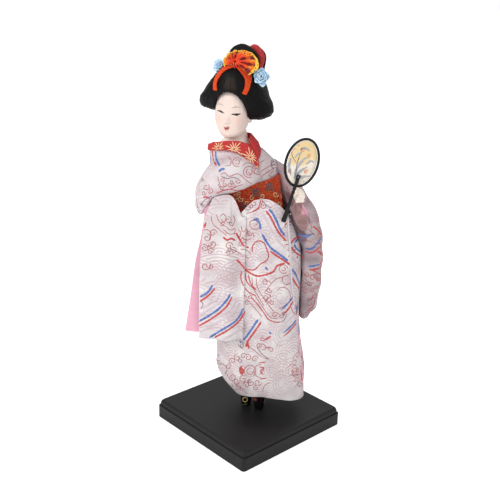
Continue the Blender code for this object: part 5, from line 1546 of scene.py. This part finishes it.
def make_hair():
    """The wig with its side wings, and the two hair rolls of the topknot with cloth between them."""
    wig = joined("wig_hair", ("wig",))
    remeshed(wig, 0.46, 9)
    points = read_points(wig, HEAD)
    x, y, z = points.T
    normals = read_normals(wig, HEAD)
    valley = bump(np.abs(x - 1.5) - (12.5 + 0.1 * z), 2.2) * smoothstep(z, 8, 16) * smoothstep(-y, 4, 12)
    dome = bump(np.hypot(x - 1.5, (z - 23) * 0.9), 8) * smoothstep(-y, 6, 12)
    points = points + normals * (0.8 * dome - 0.9 * valley)[:, None]
    under = (points[:, 0] < -8) & (points[:, 2] < 1) & (points[:, 1] < 14)
    points[under, 2] = 1 + (points[under, 2] - 1) * 0.45
    points[:, 0] -= 1.8 * smoothstep(x, 16, 24) * bump(z - 11, 8)
    points[:, 0] -= 1.4 * smoothstep(-x, 14, 24) * bump(z - 4, 9)
    write_points(wig, points, HEAD)
    comb(wig, chosen("comb_depth") / MM, 71)
    dress(hair_uv(wig), "hair", "hair", "wig")
    for node in ("topknot_front", "topknot_back"):
        roll = refined(node + "_hair", node, 2, crease=0.1)
        points = read_points(roll, HEAD)
        around = angle_round_roll(points)
        shaped = squared(points + read_normals(roll, HEAD) * (0.09 * np.sin(points[:, 1] * 5))[:, None])
        if node == "topknot_front":
            above = np.maximum(shaped[:, 2] - 28, 0)
            right = smoothstep(shaped[:, 0], 1, 13)
            shaped[:, 2] += 0.01 * above - 0.1 * above * right
            narrower = 0.13 * np.maximum(shaped[:, 0] - ROLL_MIDDLE[0], 0)
            shaped[:, 0] -= narrower + 3.6 * (1 - right) * smoothstep(above, 2, 15)
        else:
            shaped = leaned(shaped, 0.12, 0.2, wider=0.13)
        write_points(roll, shaped, HEAD)
        dress(set_uv(roll, points[:, 1] / 10, around * 20), "hair", "hair", node)
    cloth = refined("topknot_red_roll", "topknot_cloth", 3, crease=0.1)
    points = read_points(cloth, HEAD)
    around = angle_round_roll(points)
    wrinkles = 0.28 * waves(points, 5, 72) + 0.2 * np.sin(around * 26)
    padded = squared(points + read_normals(cloth, HEAD) * (wrinkles + 0.4)[:, None])
    write_points(cloth, leaned(padded, 0.05, 0.22), HEAD)
    dress(set_uv(cloth, around, points[:, 1]), "tie_dye", "red_cloth", "topknot_cloth")


def make_ribbons():
    """Two crepe ribbons and the crumpled bow with its dotted yellow rim."""
    for side in ("left", "right"):
        ribbon = refined("ribbon_" + side, "hair_ribbon_" + side, 3, crease=0.5)
        points = read_points(ribbon, HEAD)
        path = spaced(np.array(RIBBON_PATHS[side]), 0.4)
        for i, (x, z) in enumerate(points[:, [0, 2]]):
            nearest = path[np.argmin(np.hypot(path[:, 0] - x, path[:, 1] - z))]
            points[i, [0, 2]] = nearest + (points[i, [0, 2]] - nearest) * (0.84 if side == "left" else 0.74)
        lift = 0.12 + 0.12 * np.sin(points[:, 2] * 0.8) + 0.06 * waves(points, 4, 81)
        write_points(ribbon, points + read_normals(ribbon, HEAD) * lift[:, None] * 0.6, HEAD)
        set_uv(ribbon, points[:, 0] / WRAP_RADIUS, points[:, 2])
        dress(ribbon, "ribbon", "orange_cloth", "hair_ribbon_" + side)
        declare_sheet(ribbon)
    bow = refined("bow_crepe_cloth", "hair_bow", 3, crease=0.3)
    middle = Matrix.Translation(Vector((1.8, -11.2, 35.0)) * MM)
    tilt = HEAD @ middle @ Matrix.Rotation(math.radians(-28), 4, "X")
    points = read_points(bow, tilt)
    angle = np.arctan2(points[:, 2], points[:, 0])
    radius = np.hypot(points[:, 0], points[:, 2])
    bins = np.round(np.degrees(angle) / 4).astype(int)
    reach = np.array([radius[np.abs((bins - b + 45) % 90 - 45) <= 2].max() for b in bins])
    share = np.clip(radius / reach, 0, 1)
    crumple = 0.8 * np.sin(9 * angle + 2.2 * np.sin(3 * angle) + 2 * share) + 0.5 * waves(points, 4.5, 82)
    crumple *= smoothstep(share, 0.12, 0.4) * (1 - 0.6 * smoothstep(share, 0.85, 1.0))
    mark_painted_shade(bow, -crumple, 1.1)
    points[:, 1] += np.clip(crumple, -1.0, 1.1)
    write_points(bow, points, tilt)
    dress(set_uv(bow, angle, share * 10), "bow", "orange_cloth", "hair_bow")
    declare_sheet(bow)
    knot = bmesh.new()
    bmesh.ops.create_icosphere(knot, subdivisions=5, radius=1)
    place = HEAD @ Matrix.Translation(Vector(BOW_KNOT) * MM)
    knot.transform(place @ Matrix.Diagonal((2.7 * MM, 1.9 * MM, 2.3 * MM, 1)))
    knot = piece_of("bow_knot", knot)
    points = read_points(knot, HEAD)
    pinch = 0.28 * np.sin(points[:, 0] * 3.4 + points[:, 2]) + 0.15 * waves(points, 2.5, 83)
    mark_painted_shade(knot, pinch, 0.4)
    write_points(knot, points + read_normals(knot, HEAD) * pinch[:, None], HEAD)
    dress(set_uv(knot, points[:, 0] / 12, 5.2 + 0.4 * (points[:, 2] - 34)), "bow", "orange_cloth")
    rim = bmesh.new()
    rim.from_mesh(bow.data)
    normal_matrix = tilt.to_3x3().inverted()
    rim.faces.ensure_lookup_table()
    inner = []
    for face in rim.faces:
        facing = (normal_matrix @ face.normal).y
        outer = min(share[vert.index] for vert in face.verts)
        if facing > -0.35 or not 0.6 < outer < 0.97:
            inner.append(face)
    bmesh.ops.delete(rim, geom=inner, context="FACES")
    mesh = bpy.data.meshes.new("rim")
    rim.to_mesh(mesh)
    rim.free()
    dot = bmesh.new()
    bmesh.ops.create_icosphere(dot, subdivisions=1, radius=1)
    dot.transform(Matrix.Diagonal((1, 1.5, 0.35, 1)))
    guide = piece_of("dot_guide", dot)
    dots = run_tree("bow_dots", mesh, "Scattered dots", {
        "Dot": guide, "Spacing": 2.0 * MM, "Size": 0.42 * MM, "Seed": 5, "Material": MATERIALS["dot"]})
    bpy.data.objects.remove(guide)
    dress(dots, "dot", "orange_cloth")


def make_roses():
    """Two cloth roses of overlapping petals."""
    petal = petal_shape()
    for side, place, radius, turn, seed in (("left", (-12.4, -7, 32.0), 5.0, (1.25, 0, -0.35), 4),
                                            ("right", (20.9, -8, 28.0), 5.9, (1.35, 0, 0.35), 9)):
        base = bpy.data.meshes.new("base")
        rose = run_tree("rose_" + side, base, "Cloth rose", {
            "Petal": petal, "Petals": 24, "Radius": radius * MM, "Seed": seed, "Material": MATERIALS["rose"]})
        rose.data.transform(HEAD @ Matrix.Translation(Vector(place) * MM) @ Euler(turn).to_matrix().to_4x4())
        dress(rose, "rose", "flower_blue", "hair_flower_" + side)
    bpy.data.objects.remove(petal)


def capsule(solid, start, end, radius):
    """Adds a round-ended finger between two points of the doll's frame to a bmesh."""
    start, end = doll(*start), doll(*end)
    for share in np.linspace(0, 1, 9):
        bmesh.ops.create_icosphere(solid, subdivisions=2, radius=radius * MM * (1.06 - 0.22 * share),
                                   matrix=Matrix.Translation(start.lerp(end, share)))


def make_hand():
    """The left hand with four fingers closed on the fan's handle and a thumb along it."""
    hand = joined("hand_cast", ("hand_left",))
    solid = opened(hand)
    for k, height in enumerate((181.8, 184.0, 186.2, 188.4)):
        root, tip = (36.2 - 0.25 * k, -20.0, height - 0.5), (31.6 + 0.5 * k, -24.2, height)
        capsule(solid, root, tip, 1.35 - 0.08 * k)
    capsule(solid, (32.0, -19.5, 189.0), (31.8, -23.0, 192.2), 1.3)
    closed(solid, hand)
    remeshed(hand, 0.26, 5)
    dress(hand, "skin", "skin", "hand_left")


def make_fan():
    """The fan's lacquered ring and handle, and its painted paper leaf."""
    ring = refined("fan_ring_wood", "fan_ring", 2, crease=0.2)
    dress(ring, "lacquer", "lacquer", "fan_ring")
    handle = joined("fan_handle_wood", ("fan_handle",))
    remeshed(handle, 0.16, 4)
    dress(handle, "lacquer", "lacquer", "fan_handle")
    leaf = refined("fan_leaf_paper", "fan_leaf", 3, crease=1.0)
    dress(leaf, "paper", "fan_paper", "fan_leaf")
    declare_sheet(leaf)
    ground = Ground([leaf], [])
    grey = [line(294, 178, 297, 168, 303, 160, 308, 157), line(294, 180, 299, 172, 307, 167),
            line(296, 181, 302, 177, 310, 176), line(291, 176, 289, 166, 291, 158),
            line(300, 150, 305, 148, 310, 151), line(295, 158, 298, 154, 302, 153),
            line(303, 181, 307, 183, 310, 180), line(306, 164, 311, 161, 314, 163)]
    twig = [line(300, 186, 296, 176, 297, 164, 301, 152), line(297, 164, 292, 155, 293, 148)]
    rust = [curl(303, 150, 2.6, 0), curl(294, 148, 2.2, 90), curl(309, 156, 2.0, 0),
            arc(299, 143, 2.4, 0, 300), curl(306, 172, 2.2, 0), curl(290, 171, 2.0, 40),
            line(298, 183, 301, 186, 305, 186)]
    for name, finish, motifs, half_width in (("fan_leaves_painted", "paint_grey", grey, 0.95),
                                             ("fan_twigs_painted", "obi_dark", twig, 0.24),
                                             ("fan_blossoms_painted", "paint_rust", rust, 0.45)):
        print_piece(name, ground, motifs, [sight()], half_width, finish, "fan_paper", 2, PAINT_LIFT, 4.0)


def make_feet():
    """Lacquered clogs with painted flowers, feet in cotton socks, and the steel leg wires."""
    clogs = []
    for side in ("left", "right"):
        clog = refined("clog_wood_" + side, "clog_" + side, 2, crease=0.7)
        dress(clog, "lacquer", "lacquer", "clog_" + side)
        clogs.append(clog)
        foot = joined("sock_" + side, ("foot_" + side,))
        remeshed(foot, 0.4, 5)
        dress(wrap_uv(foot), "sock", "sock_white", "foot_" + side)
        paint_all(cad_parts["leg_wire_" + side], "steel")
    ground = Ground(clogs, [])
    views = [sight(), sight(math.pi / 2), sight(math.pi), sight(-math.pi / 2)]
    star = [arc(245, 399.6, 2.3, start, start + 150) for start in (0, 72, 144, 216, 288)]
    bloom = [curl(253.5, 401, 2.4, 0, 1.2), curl(255.5, 399.5, 1.8, 90, 1.2)]
    leaves = [line(240.5, 403, 243.5, 405, 247, 404), line(243, 407, 246.5, 405.5, 249.5, 407)]
    dashes = [line(250.7, 407.6, 253, 408.2), line(254, 407.4, 256, 408.4), line(256.6, 409, 259, 409.6)]
    for name, finish, motifs, half_width in (("clog_flower_yellow", "flower_yellow", star + dashes, 0.24),
                                             ("clog_flower_red", "flower_red", bloom, 0.34),
                                             ("clog_leaf_green", "leaf_green", leaves, 0.45)):
        print_piece(name, ground, motifs, views, half_width, finish, "lacquer", lift=PAINT_LIFT)


def make_core():
    """The stuffed body and arms under the clothes."""
    core = refined("body_wadding", "body_core", 2, crease=0.2)
    points = read_points(core)
    write_points(core, points - read_normals(core) * (0.25 + 0.15 * waves(points, 8, 91))[:, None])
    dress(wrap_uv(core), "wadding", "stuffing", "body_core")
    for side in ("left", "right"):
        arm = refined("arm_wadding_" + side, "arm_" + side, 2, crease=0.1)
        points = read_points(arm)
        points[:, 2] -= 3.2 * bump(points[:, 0] - 21, 8)
        write_points(arm, points - read_normals(arm) * (0.2 + 0.1 * waves(points, 5, 92))[:, None])
        dress(wrap_uv(arm), "wadding", "stuffing", "arm_" + side)


def lay_print():
    """The kimono's print on every side, the collar's gold flowers and the obi's dark ones."""
    hiding = [bpy.data.objects[name] for name in (
        "obi_sash", "collar_front_band", "collar_nape_band", "hand_cast", "fan_ring_wood", "fan_leaf_paper",
        "fan_handle_wood", "head_cast", "wig_hair", "sleeve_bag_lining", "skirt_piping_cord", "cuff_lining",
        "obi_bow_pad")]
    shaded = Ground(CLOTHES.values(), hiding)
    front, sides = [sight()], [sight(math.radians(turn)) for turn in (95, 180, 265)]
    for name, motifs, half_width, finish, across in (
            ("print_smoke_bands", SMOKE_BANDS, 0.9, "smoke", 3),
            ("print_tone_arcs", TONE_ARCS, 0.26, "tone", 1),
            ("print_red_lines", RED_LINES + RED_CURLS, 0.25, "red_line", 1),
            ("print_red_bold", RED_BOLD, 0.44, "red", 2),
            ("print_dark_lines", DARK_LINES + DARK_CURLS, 0.24, "dark_line", 1),
            ("print_red_stripes", RED_STRIPES, 0.72, "red", 2),
            ("print_blue_stripes", BLUE_STRIPES, 0.82, "blue", 2)):
        lift = chosen("print_lift") / MM * (0.5 if finish in ("smoke", "tone") else 1.0)
        print_piece(name, shaded, motifs, front + sides, half_width, finish, "kimono", across, lift)
    collar = Ground([bpy.data.objects["collar_front_band"]], [bpy.data.objects["head_cast"]])
    flowers = rays(CHRYSANTHEMUMS)
    print_piece("collar_gold_rays", collar, flowers, front, 0.25, "gold", "red_brocade", 1, THREAD_LIFT)
    sash = Ground([bpy.data.objects["obi_sash"]], [CLOTHES["kimono_upper"], CLOTHES["skirt_front_cloth"]])
    dark = rays([(256, 192.5, 6.5, 9), (269.5, 187, 6.0, 9), (243, 206, 5, 8)])
    print_piece("obi_dark_flowers", sash, dark, front + sides, 0.55, "obi_dark", "obi_red", 1, THREAD_LIFT)
    gold = small_curls((236, 196, 3.5, 0), (241, 199.5, 3.4, 90), (247, 203, 3, 0), (262, 196, 3, 180),
                       (275.7, 194.3, 3, 0), (252, 198, 2.5, 60), (232, 201, 2.5, 0), (239, 193, 2.4, 90))
    print_piece("obi_gold_curls", sash, gold, front + sides, 0.2, "gold", "obi_red", 1, FINE_LIFT)


# Stage

def add_lamp(name, place, size, power):
    """A square soft lamp that shines on the doll's middle."""
    light = bpy.data.lights.new(name, "AREA")
    light.size = size
    light.energy = power
    lamp = bpy.data.objects.new(name, light)
    lamp.location = place
    lamp.rotation_euler = (DOLL_MIDDLE - Vector(place)).to_track_quat("-Z", "Y").to_euler()
    bpy.context.scene.collection.objects.link(lamp)


def make_stage(world_strength):
    """The pale floor, the soft lamps and the camera at the photograph's angle."""
    solid = bmesh.new()
    bmesh.ops.create_grid(solid, x_segments=1, y_segments=1, size=30.0)
    floor = piece_of("floor", solid, smooth=False)
    graph, where = start_material("floor_paper", 0.9)
    grain = graph.noise(where, 60.0, 2.0)
    colour = graph.mix(graph.times(grain, 0.1), rgb(253, 253, 253), rgb(248, 248, 248))
    graph.feed(graph.shader.inputs["Base Color"], colour)
    glow = graph.times(graph.node("ShaderNodeLightPath").outputs["Is Camera Ray"], 0.55)
    graph.shader.inputs["Emission Color"].default_value = (1, 1, 1, 1)
    graph.feed(graph.shader.inputs["Emission Strength"], glow)
    floor.data.materials.append(graph.material)
    world = bpy.data.worlds.new("studio")
    bpy.context.scene.world = world
    world.use_nodes = True
    graph = Graph(world.node_tree)
    nodes = world.node_tree.nodes
    nodes["Background"].inputs["Strength"].default_value = world_strength
    nodes["Background"].inputs["Color"].default_value = (1, 1, 1, 1)
    white = graph.node("ShaderNodeBackground", {"Color": (1, 1, 1, 1), "Strength": 1.0})
    path = graph.node("ShaderNodeLightPath")
    seen = graph.math("MAXIMUM", path.outputs["Is Camera Ray"], path.outputs["Is Transmission Ray"])
    both = graph.node("ShaderNodeMixShader", {0: seen})
    graph.feed(both.inputs[1], nodes["Background"].outputs[0])
    graph.feed(both.inputs[2], white.outputs[0])
    graph.feed(nodes["World Output"].inputs["Surface"], both.outputs[0])
    for lamp in LAMPS:
        add_lamp(*lamp)
    view = bpy.data.cameras.new("camera")
    view.sensor_width = SENSOR_WIDTH
    view.lens = FOCAL_PIXELS / PHOTO_WIDTH * SENSOR_WIDTH
    view.clip_start = 0.01
    camera = bpy.data.objects.new("camera", view)
    camera.matrix_world = sight()
    bpy.context.scene.collection.objects.link(camera)
    bpy.context.scene.camera = camera
    bpy.context.scene.view_settings.view_transform = "Standard"


# The add-on

def colour_setting(name, description, default):
    """A colour that a user may change."""
    return bpy.props.FloatVectorProperty(
        name=name, description=description, default=default, size=4, min=0, max=1, subtype="COLOR")


class DollSettings(bpy.types.PropertyGroup):
    """Sizes and colours that a user may change."""
    print_lift: bpy.props.FloatProperty(
        name="Print thickness", description="How far the printed lines stand above the cloth",
        default=PRINT_LIFT * MM, min=0.02 * MM, max=0.3 * MM, precision=6, unit="LENGTH")
    comb_depth: bpy.props.FloatProperty(
        name="Comb depth", description="Depth of the combed grooves in the wig",
        default=COMB_DEPTH * MM, min=0, max=0.4 * MM, precision=6, unit="LENGTH")
    satin_colour: colour_setting("Kimono", "Palest colour of the kimono's satin", WHITE_SATIN)
    lining_colour: colour_setting("Lining", "Colour of the sleeves' lining and the piping", LINING_PINK)
    collar_colour: colour_setting("Collar", "Colour of both collar bands", COLLAR_RED)
    sash_colour: colour_setting("Sash", "Ground colour of the sash and its bow", OBI_RED)
    ribbon_colour: colour_setting("Ribbons", "Ground colour of the hair ribbons", RIBBON_ORANGE)
    rose_colour: colour_setting("Roses", "Colour of the cloth roses", ROSE_BLUE)
    world_strength: bpy.props.FloatProperty(
        name="World light", description="Strength of the even light from all round",
        default=0.55, min=0, max=3, subtype="FACTOR")


class DOLL_OT_finishes(bpy.types.Operator):
    """Build every finish and the two trees, and paint the board."""
    bl_idname = "doll.finishes"
    bl_label = "Finishes"

    def execute(self, context):
        MATERIALS.update(make_materials())
        build_rose_tree()
        build_dot_tree()
        paint_all(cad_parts["stand"], "board")
        return {"FINISHED"}


class DOLL_OT_core(bpy.types.Operator):
    """Make the wadded body and arms."""
    bl_idname = "doll.core"
    bl_label = "Stuffed body"

    def execute(self, context):
        make_core()
        return {"FINISHED"}


class DOLL_OT_feet(bpy.types.Operator):
    """Make the clogs and the socks, and finish the leg wires."""
    bl_idname = "doll.feet"
    bl_label = "Feet"

    def execute(self, context):
        make_feet()
        return {"FINISHED"}


class DOLL_OT_skirt(bpy.types.Operator):
    """Make the skirt, its front panel and its piping."""
    bl_idname = "doll.skirt"
    bl_label = "Skirt"

    def execute(self, context):
        make_skirt()
        return {"FINISHED"}


class DOLL_OT_upper(bpy.types.Operator):
    """Make the bodice with its crossing sleeve."""
    bl_idname = "doll.upper"
    bl_label = "Upper kimono"

    def execute(self, context):
        make_upper()
        return {"FINISHED"}


class DOLL_OT_bag(bpy.types.Operator):
    """Make the hanging sleeve and its lining."""
    bl_idname = "doll.bag"
    bl_label = "Hanging sleeve"

    def execute(self, context):
        make_bag()
        return {"FINISHED"}


class DOLL_OT_left_sleeve(bpy.types.Operator):
    """Make the left sleeve and its cuff."""
    bl_idname = "doll.left_sleeve"
    bl_label = "Left sleeve"

    def execute(self, context):
        make_left_sleeve()
        return {"FINISHED"}


class DOLL_OT_collars(bpy.types.Operator):
    """Make both collar bands."""
    bl_idname = "doll.collars"
    bl_label = "Collars"

    def execute(self, context):
        make_collars()
        return {"FINISHED"}


class DOLL_OT_obi(bpy.types.Operator):
    """Make the sash and its bow."""
    bl_idname = "doll.obi"
    bl_label = "Sash"

    def execute(self, context):
        make_obi()
        return {"FINISHED"}


class DOLL_OT_head(bpy.types.Operator):
    """Make the head and its painted face."""
    bl_idname = "doll.head"
    bl_label = "Head"

    def execute(self, context):
        make_head()
        return {"FINISHED"}


class DOLL_OT_hair(bpy.types.Operator):
    """Make the wig and the topknot."""
    bl_idname = "doll.hair"
    bl_label = "Hair"

    def execute(self, context):
        make_hair()
        return {"FINISHED"}


class DOLL_OT_ribbons(bpy.types.Operator):
    """Make the ribbons and the bow."""
    bl_idname = "doll.ribbons"
    bl_label = "Ribbons"

    def execute(self, context):
        make_ribbons()
        return {"FINISHED"}


class DOLL_OT_roses(bpy.types.Operator):
    """Make the cloth roses."""
    bl_idname = "doll.roses"
    bl_label = "Roses"

    def execute(self, context):
        make_roses()
        return {"FINISHED"}


class DOLL_OT_hand(bpy.types.Operator):
    """Make the hand on the fan's handle."""
    bl_idname = "doll.hand"
    bl_label = "Hand"

    def execute(self, context):
        make_hand()
        return {"FINISHED"}


class DOLL_OT_fan(bpy.types.Operator):
    """Make the fan."""
    bl_idname = "doll.fan"
    bl_label = "Fan"

    def execute(self, context):
        make_fan()
        return {"FINISHED"}


class DOLL_OT_prints(bpy.types.Operator):
    """Lay the print on the clothes."""
    bl_idname = "doll.prints"
    bl_label = "Print"

    def execute(self, context):
        lay_print()
        return {"FINISHED"}


class DOLL_OT_stage(bpy.types.Operator):
    """Make the floor, the lamps and the camera."""
    bl_idname = "doll.stage"
    bl_label = "Stage"

    def execute(self, context):
        make_stage(chosen("world_strength"))
        return {"FINISHED"}


OPERATORS = (DOLL_OT_finishes, DOLL_OT_core, DOLL_OT_feet, DOLL_OT_skirt, DOLL_OT_upper,
             DOLL_OT_bag, DOLL_OT_left_sleeve, DOLL_OT_collars, DOLL_OT_obi, DOLL_OT_head,
             DOLL_OT_hair, DOLL_OT_ribbons, DOLL_OT_roses, DOLL_OT_hand, DOLL_OT_fan,
             DOLL_OT_prints, DOLL_OT_stage)


class DOLL_PT_panel(bpy.types.Panel):
    """Lists the doll's operators."""
    bl_idname = "DOLL_PT_panel"
    bl_label = "Dancer Doll"
    bl_space_type = "VIEW_3D"
    bl_region_type = "UI"
    bl_category = "Doll"

    def draw(self, context):
        for name in DollSettings.__annotations__:
            self.layout.prop(context.scene.doll, name)
        for made in OPERATORS:
            self.layout.operator(made.bl_idname)


def register():
    """Registers the classes and the settings."""
    for made in (DollSettings, *OPERATORS, DOLL_PT_panel):
        bpy.utils.register_class(made)
    bpy.types.Scene.doll = bpy.props.PointerProperty(type=DollSettings)


def unregister():
    """Takes back what register did."""
    del bpy.types.Scene.doll
    for made in (DOLL_PT_panel, *reversed(OPERATORS), DollSettings):
        bpy.utils.unregister_class(made)


def main():
    """Builds the doll piece by piece."""
    register()
    for made in OPERATORS:
        getattr(bpy.ops.doll, made.bl_idname.split(".")[1])()


if __name__ == "__main__":
    main()
